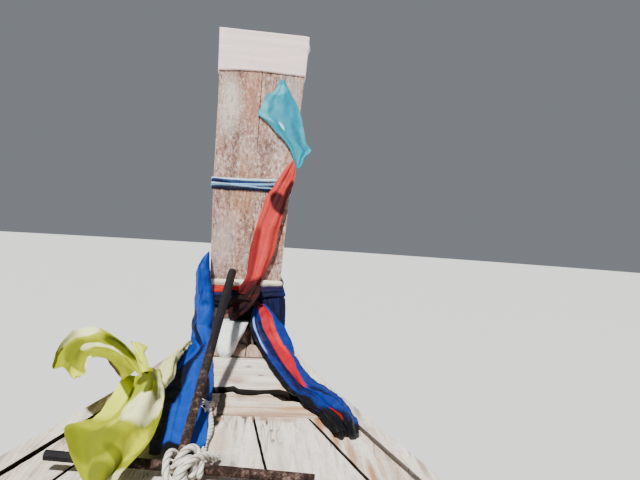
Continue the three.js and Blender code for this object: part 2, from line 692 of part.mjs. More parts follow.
function alternator() {
  const body = rod([400, -208, 40], [540, -208, 40], 58, 58, 16);
  const arm = box(440, 480, -190, -131 - 8 - GAP, 20, 60);
  const wheel = rod([535, -208, 40], [575, -208, 40], 34, 34, 16);
  return join([body, arm, wheel]);
}

// The steering bar, from the front of the cradle to the boatman's hand.
function tiller() {
  const route = [[CRADLE.fore + 3, 0, -129], [840, 0, -150], [1250, 0, -270], [1620, 0, -372],
    [1900, 0, -405]];
  const bar = pipe(route, [19, 19, 19, 17, 17]);
  const grip = rod([1760, 0, -388.5], [1900, 0, -405], 22);
  return join([bar, grip]);
}

// The long tube to the propeller, with its flange, stay and skeg.
function tailTube() {
  const axis = -ENGINE.shaftDrop;
  const tube = rod([-212, 0, axis], [-TAIL.length, 0, axis], TAIL.radius, TAIL.radius - 4, 20);
  const flange = rod([-198 - GAP, 0, axis + 10], [-222, 0, axis + 10], 78, 78, 20);
  const collars = [-900, -1900, -2800].map((x) => rod([x, 0, axis], [x - 40, 0, axis], 46, 46, 20));
  const stay = rod([-216, 0, axis - 62], [-900, 0, axis - 44], 10);
  const skeg = slab([[-2960, axis - 25], [-3225, axis - 25], [-3215, axis - 190], [-3120, axis - 210]], -5, 5,
    (a, b, c) => [a, c, b]);
  const guard = slab([[-2900, axis + 25], [-3240, axis + 25], [-3240, axis + 70]], -5, 5,
    (a, b, c) => [a, c, b]);
  const body = join([tube, flange, ...collars, stay, skeg, guard]);
  return cut(body, [rod([-TAIL.length - 10, 0, axis], [-TAIL.length + 90, 0, axis], 18, 18, 20)]);
}

// One propeller blade: twisted sections from hub to tip, each [radius, chord, pitch angle, thickness].
const BLADE = [
  { r: 20, chord: 52, pitch: 58, thick: 11 },
  { r: 60, chord: 88, pitch: 42, thick: 8 },
  { r: 105, chord: 104, pitch: 31, thick: 6 },
  { r: 138, chord: 74, pitch: 26, thick: 4 },
  { r: PROP.radius, chord: 26, pitch: 24, thick: 3 },
];

function blade(turn) {
  const place = ({ r, chord, pitch, thick }) => {
    const angle = radians(pitch);
    const corner = (along, off) => {
      const x = along * Math.sin(angle) + off * Math.cos(angle);
      const across = along * Math.cos(angle) - off * Math.sin(angle);
      const y = across * Math.cos(turn) - r * Math.sin(turn);
      const z = across * Math.sin(turn) + r * Math.cos(turn);
      return [x, y, z];
    };
    return [corner(-chord / 2, 0), corner(-chord / 5, -thick / 2), corner(chord / 5, -thick / 2),
      corner(chord / 2, 0), corner(chord / 5, thick / 2), corner(-chord / 5, thick / 2)];
  };
  return loft(BLADE.map(place));
}

function propeller() {
  const hubX = -TAIL.length - 52;
  const axis = -ENGINE.shaftDrop;
  const blades = Array.from({ length: PROP.blades }, (_, i) =>
    blade((2 * Math.PI * i) / PROP.blades).translate(hubX, 0, axis));
  const hub = turned([[0, 0], [29, 0], [32, 40], [30, 84], [14, 100], [0, 100]], 20).rotateY(-Math.PI / 2)
    .translate(hubX + 44, 0, axis);
  const shaft = rod([-TAIL.length + 80, 0, axis], [hubX, 0, axis], 17, 17, 20);
  return join([hub, shaft, ...blades]);
}

// Anchor and rope.
const ANCHOR = { low: [4090, 63, 1057], high: [4812, 39.5, 1308.7], foot: 7.6, head: 12.4, bar: 8,
  left: [4096, 265, 1069], right: [4067, -150, 1050] };
const ROPE = 12.5;

function anchor() {
  const shank = rod(ANCHOR.low, ANCHOR.high, ANCHOR.foot, ANCHOR.head);
  return join([shank, rod(ANCHOR.left, ANCHOR.right, ANCHOR.bar)]);
}

// The lashing round the crossing of the two bars.
function ropeKnot() {
  const loops = [
    [[4048, 72, 1056], [4066, 76, 1074], [4090, 76, 1077], [4106, 73, 1070]],
    [[4066, 60, 1070], [4082, 52, 1079], [4086, 42, 1079], [4074, 32, 1072]],
    [[4066, 44, 1077], [4084, 26, 1075], [4106, 15, 1064], [4126, 8, 1056]],
  ].map((route) => pipe(route, route.map(() => 5.6), 8));
  const clasp = box(4066, 4104, 44, 80, 1047, 1075);
  const bars = [rod([4062, 63.9, 1047.2], ANCHOR.high, ANCHOR.foot + 0.6, ANCHOR.head + 0.9),
    rod(ANCHOR.left, ANCHOR.right, ANCHOR.bar + 0.8)];
  return cut(join([clasp, ...loops]), bars);
}

// Where the rope runs: a short frayed end forward, and the long part aft to its coil.
const TAIL_END = [[4116, 28, 1064], [4140, 30, 1058], [4167, 32, 1057.5], [4190, 31, 1059], [4212, 28, 1061],
  [4240, 28, 1063], [4270, 32, 1065.5], [4300, 37, 1068], [4328, 43, 1072]];
const RODE = [[4060, 50, 1061], [4046, 48, 1055], [4030, 46, 1050], [4010, 44, 1047.5], [3990, 46, 1045.5],
  [3970, 52, 1044], [3954, 62, 1043], [3944, 74, 1042]];
const COIL = { x: 3790, y: 95, radius: 100, ring: 34, high: 46, tilt: 0.078 };

function cordTube(route) {
  const path = new THREE.CatmullRomCurve3(route.map((p) => new THREE.Vector3(...p)));
  const corners = Array.from({ length: 8 }, (_, k) => (Math.PI * k) / 4);
  const half = ROPE / 2;
  const spots = corners.map((a) => new THREE.Vector2(half * Math.cos(a), half * Math.sin(a)));
  const round = new THREE.Shape(spots);
  const steps = 2 * (route.length - 1);
  return outward(welded(new THREE.ExtrudeGeometry(round, { steps, extrudePath: path })));
}

function ropeCoil() {
  const base = deckAt(COIL.x) + 8;
  const near = COIL.radius - COIL.ring;
  const far = COIL.radius + COIL.ring;
  return turned([[near, 0], [far, 0], [far, COIL.high], [near, COIL.high], [near, 0]], 20)
    .rotateY(-COIL.tilt).translate(COIL.x, COIL.y, base);
}

// Cloth on the post.
// A flat piece against the aft face of the post: the outline is [port, up], the depths stand off the face.
const onPost = (outline, near, far) =>
  slab(outline, near, far, (y, z, off) => [postSection(z).aft - off, y, z]);

const turquoiseScarf = () => onPost([[-70, 1948], [-4, 1828], [-70, 1757], [-116, 1692], [-126, 1668],
  [-160, 1680], [-182, 1714], [-144, 1781], [-106, 1900]], 4, 18);

const redScarf = () => onPost([[-126, 1658], [-58, 1570], [-24, 1456], [-6, 1377], [0, 1294], [-44, 1294],
  [-71, 1350], [-90, 1404], [-102, 1461], [-114, 1526], [-132, 1599]], 19, 32);

// A band tied round the post between two heights.
function band(low, high, proud, slope = 0) {
  const ring = (z, grow) => {
    const tip = (y) => z + slope * y;
    const { aft, front, half } = postSection(z);
    const side = half + grow;
    return [[aft - grow, side, tip(side)], [front + grow, side, tip(side)], [front + grow, -side, tip(-side)],
      [aft - grow, -side, tip(-side)]];
  };
  const outside = loft([ring(low, proud), ring(high, proud)]);
  return cut(outside, [loft([ring(low - 30, 1.5), ring(high + 30, 1.5)])]);
}

const postRibbon = () => band(1562, 1604, 15, 0);
const baseWrap = () => band(1174, 1284, 24, 0);

// The blue sash hangs down the port side of the post and lies aft along the deck.
function portSash() {
  const hanging = slab([[4836, 1352], [4858, 1300], [4868, 1124], [4700, 1112], [4660, 1114], [4790, 1280]],
    134, 148, (x, z, y) => [x, y, z]);
  const lying = loft([
    { x: 4706, low: 104, high: 146 }, { x: 4600, low: 84, high: 158 }, { x: 4450, low: 62, high: 164 },
    { x: 4280, low: 62, high: 152 }, { x: 4250, low: 90, high: 150 }, { x: 4124, low: 96, high: 124 },
  ].map(({ x, low, high }) => {
    const z = deckAt(x) + 7;
    return [[x, low, z], [x, high, z], [x, high, z + 14], [x, low, z + 14]];
  }));
  const joint = box(4664, 4698, 134.5, 145.5, 1104, 1120);
  return join([hanging, lying, joint]);
}

// The striped sash falls from the wrap to starboard and lies aft across the deck.
function starboardSash() {
  return loft([
    { x: 4784, low: -126, high: -30, lift: 44 }, { x: 4760, low: -130, high: -32, lift: 30 },
    { x: 4680, low: -140, high: -50, lift: 8 }, { x: 4600, low: -148, high: -64, lift: 8 },
    { x: 4440, low: -198, high: -108, lift: 8 }, { x: 4330, low: -225, high: -142, lift: 8 },
    { x: 4250, low: -252, high: -186, lift: 8 }, { x: 4190, low: -252, high: -206, lift: 8 },
  ].map(({ x, low, high, lift }) => {
    const z = deckAt(x) + lift;
    return [[x, low, z], [x, high, z], [x, high, z + 14], [x, low, z + 14]];
  }));
}

// The yellow scarf is tied by the port gunwale: one leaf blows up and outboard, the other hangs aft.
function yellowScarf() {
  const lift = (low, high) => (x, y, c) => [x, y, lerp(low, high, c)];
  const upper = slab([[4320, 140], [4520, 128], [4640, 150], [4620, 300], [4500, 372], [4400, 330],
    [4330, 250]], 0, 1, lift(1150, 1168));
  const lower = slab([[4340, 140], [4330, 214], [4220, 222], [4110, 240], [4010, 190], [3990, 140],
    [4090, 112]], 0, 1, lift(1094, 1110));
  const knot = box(4300, 4350, 146, 200, 1096, 1164);
  return join([upper, lower, knot]);
}

// Assembly.
const finish = (color, roughness, metalness = 0) => ({ color, roughness, metalness });
const FINISH = {
  hullWood: finish(0x8a6248, 0.75), postWood: finish(0xa88a7c, 0.8), deckWood: finish(0xc9b8a6, 0.85),
  warmWood: finish(0xb58a62, 0.8), railWood: finish(0xb89a86, 0.8), cap: finish(0xf0dad6, 0.6),
  white: finish(0xe6dfd2, 0.6), iron: finish(0x3d2e29, 0.85, 0.5), tube: finish(0x9aa0a0, 0.4, 0.8),
  canvas: finish(0x2f6f9a, 0.9), plastic: finish(0x2456a0, 0.5), engine: finish(0x4c5a60, 0.6, 0.4),
  steel: finish(0x6f6a64, 0.5, 0.8), bronze: finish(0xa8854a, 0.4, 0.9), rope: finish(0xe1dccd, 0.95),
  turquoise: finish(0x1ea5b9, 0.6), red: finish(0xe15555, 0.8), blue: finish(0x195fd7, 0.7),
  striped: finish(0x1e3cc8, 0.7), yellow: finish(0xc8cf3c, 0.7), ribbon: finish(0xb9d3ea, 0.6),
  wrap: finish(0x3a1424, 0.85),
};

function mesh(name, geometry, look) {
  const flat = geometry.index ? geometry : welded(geometry);
  flat.computeVertexNormals();
  const item = new THREE.Mesh(flat, new THREE.MeshStandardMaterial(look));
  item.name = name;
  return item;
}

const boat = new THREE.Group();
boat.name = "longtail_boat";
const engine = new THREE.Group();
engine.name = "engine";
engine.position.set(ENGINE.x, 0, ENGINE.z);
engine.rotation.y = -radians(ENGINE.tilt);
boat.add(engine);

const SIDES = [["port", 1], ["starboard", -1]];
for (const [word, side] of SIDES) {
  for (let i = 0; i < STRAKES; i += 1) {
    const stations = i === BUTT.strake ? FORE_OF_BUTT : ALONG;
    boat.add(mesh(`strake_${word}_${i + 1}`, strake(i, side, stations), FINISH.hullWood));
  }
  const butted = `strake_${word}_${BUTT.strake + 1}_aft`;
  boat.add(mesh(butted, strake(BUTT.strake, side, AFT_OF_BUTT), FINISH.hullWood));
  boat.add(mesh(`gunwale_${word}`, gunwale(side), FINISH.railWood));
  boat.add(mesh(`covering_board_${word}`, coveringBoard(side), FINISH.warmWood));
  boat.add(mesh(`deck_board_${word}`, longBoard(side), FINISH.deckWood));
  boat.add(mesh(`deck_board_outer_${word}`, outerBoard(side), FINISH.deckWood));
  boat.add(mesh(`canopy_side_${word}`, canopySide(side), FINISH.tube));
}

const HULL = [
  ["keel", keel, FINISH.hullWood], ["stem_post", stemPost, FINISH.postWood],
  ["stem_cap", stemCap, FINISH.cap], ["stem_knee", stemKnee, FINISH.white],
  ["bow_block", () => crossBoard(FORE.block, 40), FINISH.postWood],
  ["deck_plank_fore", () => crossBoard(FORE.first, DECK_THICK), FINISH.deckWood],
  ["deck_plank_cross", () => crossBoard(FORE.second, DECK_THICK), FINISH.warmWood],
  ["transom", transom, FINISH.hullWood], ["stern_beam", sternBeam, FINISH.warmWood],
  ["frames", frames, FINISH.warmWood], ["floorboards", floorboards, FINISH.deckWood],
  ["benches", benches, FINISH.warmWood], ["aft_deck", aftDeck, FINISH.deckWood],
  ["canopy_bows", canopyBows, FINISH.tube], ["canopy_cloth", canopyCloth, FINISH.canvas],
  ["fuel_tank", fuelTank, FINISH.plastic], ["anchor", anchor, FINISH.iron],
  ["rope_knot", ropeKnot, FINISH.rope],
  ["rope_end", () => cordTube(TAIL_END), FINISH.rope], ["anchor_rope", () => cordTube(RODE), FINISH.rope],
  ["rope_coil", ropeCoil, FINISH.rope], ["post_ribbon", postRibbon, FINISH.ribbon],
  ["base_wrap", baseWrap, FINISH.wrap], ["scarf_turquoise", turquoiseScarf, FINISH.turquoise],
  ["scarf_red", redScarf, FINISH.red], ["sash_port", portSash, FINISH.blue],
  ["sash_starboard", starboardSash, FINISH.striped], ["scarf_yellow", yellowScarf, FINISH.yellow],
  ["swivel_yoke", swivelYoke, FINISH.steel],
];
for (const [name, make, look] of HULL) boat.add(mesh(name, make(), look));

const ENGINE_PIECES = [
  ["engine_cradle", cradle, FINISH.steel], ["engine_block", engineBlock, FINISH.engine],
  ["engine_head", engineHead, FINISH.engine], ["exhaust", exhaust, FINISH.iron],
  ["pulleys", pulleys, FINISH.steel], ["alternator", alternator, FINISH.steel],
  ["tiller", tiller, FINISH.steel], ["tail_tube", tailTube, FINISH.steel],
  ["propeller", propeller, FINISH.bronze],
];
for (const [name, make, look] of ENGINE_PIECES) engine.add(mesh(name, make(), look));

export default boat;
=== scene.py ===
"""Looks of the longtail boat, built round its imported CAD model. Metres; +X forward, +Y to port, +Z up.

Tables marked mm hold millimetres, and frame points are (u, v) places in the photograph's 640 by 480 frame."""
import math
import random

import bmesh
import bpy
from mathutils import Matrix, Vector, noise


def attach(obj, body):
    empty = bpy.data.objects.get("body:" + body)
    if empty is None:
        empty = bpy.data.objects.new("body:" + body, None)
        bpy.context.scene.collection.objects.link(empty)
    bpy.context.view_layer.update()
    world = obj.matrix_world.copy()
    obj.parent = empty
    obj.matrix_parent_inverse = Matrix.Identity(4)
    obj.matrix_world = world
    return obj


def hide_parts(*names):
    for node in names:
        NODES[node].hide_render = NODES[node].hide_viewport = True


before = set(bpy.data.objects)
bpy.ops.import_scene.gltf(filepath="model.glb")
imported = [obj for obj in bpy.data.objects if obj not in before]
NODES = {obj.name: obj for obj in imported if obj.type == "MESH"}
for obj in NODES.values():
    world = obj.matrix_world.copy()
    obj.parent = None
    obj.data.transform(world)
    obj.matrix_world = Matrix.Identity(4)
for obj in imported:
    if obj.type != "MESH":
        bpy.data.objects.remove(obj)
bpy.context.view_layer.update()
TURN = 2 * math.pi


def lerp(a, b, t):
    return a + (b - a) * t


def limit(value):
    return min(1, max(0, value))


def between_rows(table, y):
    """Linear between the rows (y, value) of a table that runs from port to starboard."""
    for (y0, a), (y1, b) in zip(table, table[1:]):
        if y >= y1:
            return lerp(a, b, limit((y0 - y) / (y0 - y1)))
    return table[-1][1]


def rough_at(*place):
    return noise.noise(Vector(place))


def new_object(name, data):
    item = bpy.data.objects.new(name, data)
    bpy.context.collection.objects.link(item)
    return item


def groups(row, size=2, unit=1):
    """The numbers of a flat row in pairs or threes, each divided by unit."""
    return [tuple(q / unit for q in group) for group in zip(*[iter(row)] * size)]


# Sizes, as in the CAD source.
ROPE = 0.0125
POST_X, POST_RAKE, POST_FOOT, POST_HEAD, POST_LEAN = 4.8, 0.24, 1.1, 2.122, 0.007
POST_DEEP, POST_HALF = (0.205, 0.105), (0.097, 0.152)       # depth and half width at the foot and at the head
LEAN_FROM, LEAN_OVER = 1.6, 0.3     # height at which the post starts to lean to starboard, and over what height
SHEER = groups((                    # mm: x, half breadth, deck height
    -4800, 660, 650, -4000, 800, 618, -3000, 930, 603, -1500, 1040, 622, 0, 1050, 690, 1000, 1010, 770, 2000, 900,
    865, 2800, 750, 938, 3400, 590, 988, 3800, 465, 1020, 4200, 326, 1052, 4500, 222, 1076, 4690, 173, 1091, 4800,
    152, 1100, 4960, 135, 1113), 3, 1000)


def along(column, x):
    """A smooth curve through the sheer table, with no overshoot, as the CAD source draws it."""
    xs = [row[0] for row in SHEER]
    ys = [row[column] for row in SHEER]
    if x <= xs[0]:
        return ys[0]
    if x >= xs[-1]:
        return ys[-1]
    i = max(k for k in range(len(xs) - 1) if xs[k] <= x)

    def slope(k):
        return (ys[k + 1] - ys[k]) / (xs[k + 1] - xs[k])

    def tangent(k):
        if k == 0 or k == len(xs) - 1:
            return slope(min(k, len(xs) - 2))
        before, after = slope(k - 1), slope(k)
        return 0 if before * after <= 0 else 2 * before * after / (before + after)

    span = xs[i + 1] - xs[i]
    t = (x - xs[i]) / span
    near = ys[i] * (1 + 2 * t) * (1 - t) ** 2 + span * tangent(i) * t * (1 - t) ** 2
    return near + ys[i + 1] * t * t * (3 - 2 * t) + span * tangent(i + 1) * t * t * (t - 1)


def deck_at(x):
    return along(2, x)


def post_section(z):
    """Aft face, fore face, middle and half width of the post at a height."""
    t = (z - POST_FOOT) / (POST_HEAD - POST_FOOT)
    aft = POST_X + POST_RAKE * (z - POST_FOOT)
    middle = -POST_LEAN * limit((z - LEAN_FROM) / LEAN_OVER)
    return aft, aft + lerp(*POST_DEEP, limit(t)), middle, lerp(*POST_HALF, max(0, t))


# Camera: it stands on the foredeck and looks forward over the post, as the photograph does.
CAMERA = {"place": (3.29, -0.0455, 1.43), "yaw": 6.5, "pitch": 0.3, "roll": 3.75, "pixels": 500}
FRAME_WIDTH, FRAME_HEIGHT, SENSOR = 640, 480, 36
SIGHT_START, SIGHT_ROUNDS = 4.3, 14     # x where the search for the deck along a line of sight begins, and its rounds


def camera_axes():
    yaw, pitch, roll = (math.radians(CAMERA[k]) for k in ("yaw", "pitch", "roll"))
    ahead = Vector((math.cos(yaw) * math.cos(pitch), -math.sin(yaw) * math.cos(pitch), -math.sin(pitch)))
    level = Vector((-math.sin(yaw), -math.cos(yaw), 0))
    upward = level.cross(ahead)
    right = level * math.cos(roll) + upward * math.sin(roll)
    return ahead, right, upward * math.cos(roll) - level * math.sin(roll)


AHEAD, RIGHT, TOP = camera_axes()
EYE = Vector(CAMERA["place"])


def make_camera():
    data = bpy.data.cameras.new("camera")
    data.lens = CAMERA["pixels"] / FRAME_WIDTH * SENSOR
    data.sensor_width = SENSOR
    data.clip_start = 0.05
    item = new_object("camera", data)
    item.matrix_world = Matrix([(RIGHT[k], TOP[k], -AHEAD[k], EYE[k]) for k in range(3)] + [(0, 0, 0, 1)])
    bpy.context.scene.camera = item


# A frame point, carried along its line of sight to what the piece lies on.
def sight(u, v):
    across, up = ((u - FRAME_WIDTH / 2) / CAMERA["pixels"], (FRAME_HEIGHT / 2 - v) / CAMERA["pixels"])
    return AHEAD + RIGHT * across + TOP * up


def on_post(u, v, off):
    line = sight(u, v)
    reach = POST_X - off + POST_RAKE * (EYE.z - POST_FOOT) - EYE.x
    return EYE + line * (reach / (line.x - POST_RAKE * line.z))


def at_x(u, v, x):
    line = sight(u, v)
    return EYE + line * ((x - EYE.x) / line.x)


def on_deck(u, v, lift):
    line = sight(u, v)
    x = SIGHT_START
    for _ in range(SIGHT_ROUNDS):
        x = EYE.x + line.x * (deck_at(x) + lift - EYE.z) / line.z
    return at_x(u, v, x)


def at_z(u, v, z):
    line = sight(u, v)
    return EYE + line * ((z - EYE.z) / line.z)


make_camera()


# Curves and mesh pieces.
def curve_through(points, count):
    """Evenly numbered points on a smooth curve through the given ones."""
    points = [Vector(p) for p in points]
    last = len(points) - 1
    out = []
    for k in range(count):
        place = last * k / (count - 1)
        i = min(last - 1, int(place))
        t = place - i
        a, b = points[i], points[i + 1]
        before = points[i - 1] if i > 0 else a * 2 - b
        after = points[i + 2] if i + 2 <= last else b * 2 - a
        out.append(0.5 * ((2 * a) + (b - before) * t + (2 * before - 5 * a + 4 * b - after) * t * t
                          + (3 * a - before - 3 * b + after) * t ** 3))
    return out


def evenly(points, step):
    """The same line, with its points a step apart."""
    out = [points[0].copy()]
    left = step
    for a, b in zip(points, points[1:]):
        length = (b - a).length
        done = 0.0
        while length - done >= left:
            done += left
            out.append(a.lerp(b, done / length))
            left = step
        left -= length - done
    return out


def add_piece(name, verts, faces, slot, body="hull", replaces=(), uvs=None):
    mesh = bpy.data.meshes.new(name)
    mesh.from_pydata([tuple(v) for v in verts], [], faces)
    if uvs:
        layer = mesh.uv_layers.new(name="cloth")
        for loop in mesh.loops:
            layer.data[loop.index].uv = uvs[loop.vertex_index]
    mesh.update()
    for face in mesh.polygons:
        face.use_smooth = True
    item = new_object(name, mesh)
    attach(item, body)
    if replaces:
        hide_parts(*replaces)
    return item


def quads(rows, wide, across=False, down=False):
    """Faces between rows of vertices; the grid can close across its rows and down its columns."""
    faces = []
    for i in range(rows if down else rows - 1):
        for k in range(wide if across else wide - 1):
            near, far, n = i * wide, (i + 1) % rows * wide, (k + 1) % wide
            faces.append((near + k, near + n, far + n, far + k))
    return faces


def closed_tube(rows, wide):
    total = rows * wide
    return quads(rows, wide, across=True) + [tuple(range(wide))[::-1], tuple(range(total - wide, total))]


def joined(shapes):
    verts, faces = [], []
    for made, sides in shapes:
        faces += [tuple(len(verts) + k for k in face) for face in sides]
        verts += made
    return verts, faces


def circle(side, up, radius, count):
    angles = (TURN * k / count for k in range(count))
    return [(side * math.cos(a) + up * math.sin(a)) * radius for a in angles]


def tube(path, ring_at):
    """Vertices and faces of a closed tube; ring_at(i, side, up) gives the ring's points round the origin."""
    verts = []
    side = Vector((0, 0, 1)).cross(path[1] - path[0])
    if side.length < 1e-6:
        side = Vector((1, 0, 0))
    side.normalize()
    for i, p in enumerate(path):
        going = (path[min(i + 1, len(path) - 1)] - path[max(i - 1, 0)]).normalized()
        side = (side - going * side.dot(going)).normalized()
        verts += [p + q for q in ring_at(i, side, going.cross(side))]
    return verts, closed_tube(len(path), len(verts) // len(path))


# Rope: three strands laid up, as one tube with three lobes that turn along it.
LAY = 0.044                         # length of one whole turn of the strands
ROPE_SIDES = 12
CORE, LOBE, LOBE_SHAPE = 0.43, 0.085, 0.7       # in diameters: the rope's core and how far its three strands stand out
GROOVES = [(1 - abs(math.cos(math.pi * k / 4)), 0.0) for k in range(ROPE_SIDES)]     # 1 between two strands, where the rope's finish lays painted shade


def rope_mesh(path, diameter, fray=0.0):
    total = len(path) - 1
    step = (path[1] - path[0]).length

    def ring(i, side, up):
        turn = TURN * i * step / LAY
        thin = 1 - fray * max(0, (i - total * 0.7) / (total * 0.3))
        points = []
        for k in range(ROPE_SIDES):
            angle = TURN * k / ROPE_SIDES
            radius = diameter * thin * (CORE + LOBE * abs(math.cos(1.5 * angle)) ** LOBE_SHAPE)
            points.append(side * math.cos(angle + turn) * radius + up * math.sin(angle + turn) * radius)
        return points

    return tube(path, ring)


def rope_piece(name, shapes, *replaces):
    verts, faces = joined(shapes)
    return add_piece(name, verts, faces, "rope", replaces=replaces, uvs=GROOVES * (len(verts) // ROPE_SIDES))


RODE = groups((                     # mm: from the lashing aft to the coil, as in the CAD source
    4060, 50, 1061, 4046, 48, 1055, 4030, 46, 1050, 4010, 44, 1047.5, 3990, 46, 1045.5, 3970, 52, 1044, 3954, 62,
    1043, 3944, 74, 1042), 3, 1000)
TAIL_END = groups((                 # mm
    4116, 28, 1064, 4140, 30, 1058, 4167, 32, 1057.5, 4190, 31, 1059, 4212, 28, 1061, 4240, 28, 1063, 4270, 32,
    1065.5, 4300, 37, 1068, 4328, 43, 1072), 3, 1000)
KNOT_LOOPS = [                      # mm: the lashing round the crossing, from outside to in
    (4058, 54, 1060, 4044, 64, 1056, 4048, 74, 1062, 4064, 78, 1073, 4086, 78, 1078, 4102, 75, 1074, 4110, 68,
     1064, 4106, 58, 1053, 4094, 48, 1050),
    (4094, 76, 1052, 4072, 70, 1060, 4062, 64, 1072, 4070, 57, 1084, 4080, 48, 1090, 4086, 38, 1087, 4082, 30,
     1076, 4070, 27, 1062, 4060, 30, 1052),
    (4052, 62, 1054, 4056, 56, 1070, 4064, 48, 1080, 4070, 40, 1076, 4064, 36, 1064, 4054, 40, 1054),
    (4044, 58, 1058, 4052, 48, 1074, 4068, 36, 1080, 4086, 24, 1075, 4104, 15, 1065, 4118, 10, 1058, 4129, 6, 1055),
    (4108, 20, 1056, 4112, 27, 1063, 4120, 30, 1063, 4124, 24, 1060, 4116, 18, 1056),
]
COIL = {"x": 3.79, "y": 0.095, "inner": 0.0735, "outer": 0.1265, "tilt": 0.078, "layer": 0.0122, "clear": 0.008,
        "start": -0.1, "turns": (5, 5, 4)}      # turns in each layer, from the deck up
COIL_STEPS, RISE_STEPS = 20, 14     # points in one turn, and in the step up to the next layer


def coil_point(angle, radius, height):
    x = radius * math.cos(angle)
    z = deck_at(COIL["x"]) + COIL["clear"] + ROPE / 2 + height + x * math.sin(COIL["tilt"])
    return Vector((COIL["x"] + x, COIL["y"] + radius * math.sin(angle), z))


def coil_points():
    """Turns side by side from outside in, then out again a layer higher, and in once more."""
    points = []
    angle = COIL["start"]
    radius = height = 0.0
    for layer, turns in enumerate(COIL["turns"]):
        first, last = (COIL["outer"], COIL["inner"]) if layer % 2 == 0 else (COIL["inner"], COIL["outer"])
        for k in range(turns * COIL_STEPS):
            radius = lerp(first, last, k / (turns * COIL_STEPS))
            rise = min(1, k / RISE_STEPS) if layer else 0
            height = COIL["layer"] * (max(0, layer - 1) + rise)
            points.append(coil_point(angle, radius, height))
            angle += TURN / COIL_STEPS
    return points + [coil_point(angle, radius, height)]


HAIRS, TIP_HAIRS, HAIR_STEPS = 70, 46, 10
HAIR = 0.0012                       # radius of one hair at its root


def make_fray():
    """The unlaid strands at the rope's short end, and the hairs along its last length."""
    random.seed(7)
    draw = random.uniform
    tip = Vector(TAIL_END[-1])
    hairs = []
    for number in range(HAIRS):
        back = 0.012 if number < TIP_HAIRS else draw(0.01, 0.05)
        root = tip + Vector((-back, draw(-0.004, 0.004), draw(-0.002, 0.004)))
        reach = draw(0.4, 1.0)
        spread = Vector((draw(-0.006, 0.020), draw(-0.016, 0.019), draw(-0.006, 0.010)))
        end = root + Vector((0.012, 0, 0)) + spread * reach
        bend = root.lerp(end, 0.5) + Vector((0.002, draw(-0.003, 0.003), 0.004))
        hairs.append(tube(curve_through([root, bend, end], HAIR_STEPS),
                          lambda i, side, up: circle(side, up, HAIR * (1 - 0.5 * i / HAIR_STEPS), 5)))
    return add_piece("rope_fray", *joined(hairs), "rope")


def declare_cord(item, path, lay, **settings):
    length = sum((b - a).length for a, b in zip(path, path[1:]))
    tuple(path[0])


LONG_STEP, SHORT_STEP = 0.006, 0.003    # between the rings of the long rope, and of its end and lashing


def make_ropes():
    turns = coil_points()
    route = curve_through(RODE[:-1] + [turns[0]], 60)[:-1] + curve_through(turns, 6 * (len(turns) - 1))
    rode_path = evenly(route, LONG_STEP)
    rode = rope_piece("anchor_rope_laid", [rope_mesh(rode_path, ROPE)], "anchor_rope", "rope_coil")
    end_path = evenly(curve_through(TAIL_END, 90), SHORT_STEP)
    end = rope_piece("rope_end_laid", [rope_mesh(end_path, ROPE * 0.8, fray=0.1)], "rope_end")
    loops = [evenly(curve_through(groups(loop, 3, 1000), 160), SHORT_STEP) for loop in KNOT_LOOPS]
    lashing = rope_piece("rope_lashing", [rope_mesh(path, ROPE * 0.9) for path in loops], "rope_knot")
    fray = make_fray()
    declare_cord(rode, rode_path, "coiled")
    declare_cord(end, end_path, "loose", with_pieces=[fray])
    return [rode, end, lashing, fray]


ROPES = make_ropes()


# Cloth sheets, each drawn as rows of points from one edge to the other.
BROAD_CREASE, FINE_CREASE = 24, 60  # to the metre, roughly


def grid_piece(name, rows, across, down, slot, folds, crumple, seed, replaces, calm=(0.0, 0.0)):
    """A sheet through rows of points. folds are (waves across, waves along, height, phase); calm quiets its ends."""
    wide = [curve_through(row, across) for row in rows]
    columns = [curve_through([row[k] for row in wide], down) for k in range(across)]
    grid = list(zip(*columns))

    def normal(i, k):
        a = grid[min(i + 1, down - 1)][k] - grid[max(i - 1, 0)][k]
        b = grid[i][min(k + 1, across - 1)] - grid[i][max(k - 1, 0)]
        n = a.cross(b)
        return n.normalized() if n.length > 1e-12 else Vector((-1, 0, 0))

    verts, uvs = [], []
    for i in range(down):
        s = i / (down - 1)
        ease = min(1, s / calm[0] if calm[0] else 1, (1 - s) / calm[1] if calm[1] else 1)
        for k in range(across):
            t = k / (across - 1)
            lift = sum(h * math.sin(TURN * (n * t + m * s) + phase) for n, m, h, phase in folds)
            point = grid[i][k]
            crease = noise.noise(point * BROAD_CREASE + Vector((seed, 0, 0)))
            crease += 0.5 * noise.noise(point * FINE_CREASE + Vector((0, seed, 0)))
            verts.append(point + normal(i, k) * (lift * ease + crumple * crease))
            uvs.append((t, s))
    return add_piece(name, verts, quads(down, across), slot, replaces=(replaces,), uvs=uvs)


def declare_sheet(item, held, rests_on, ratio):
    """Cut sizes from the sheet's own area, since the cloth lies almost flat over its folds."""
    width = math.sqrt(sum(face.area for face in item.data.polygons) / ratio)
    round(width * ratio, 3)


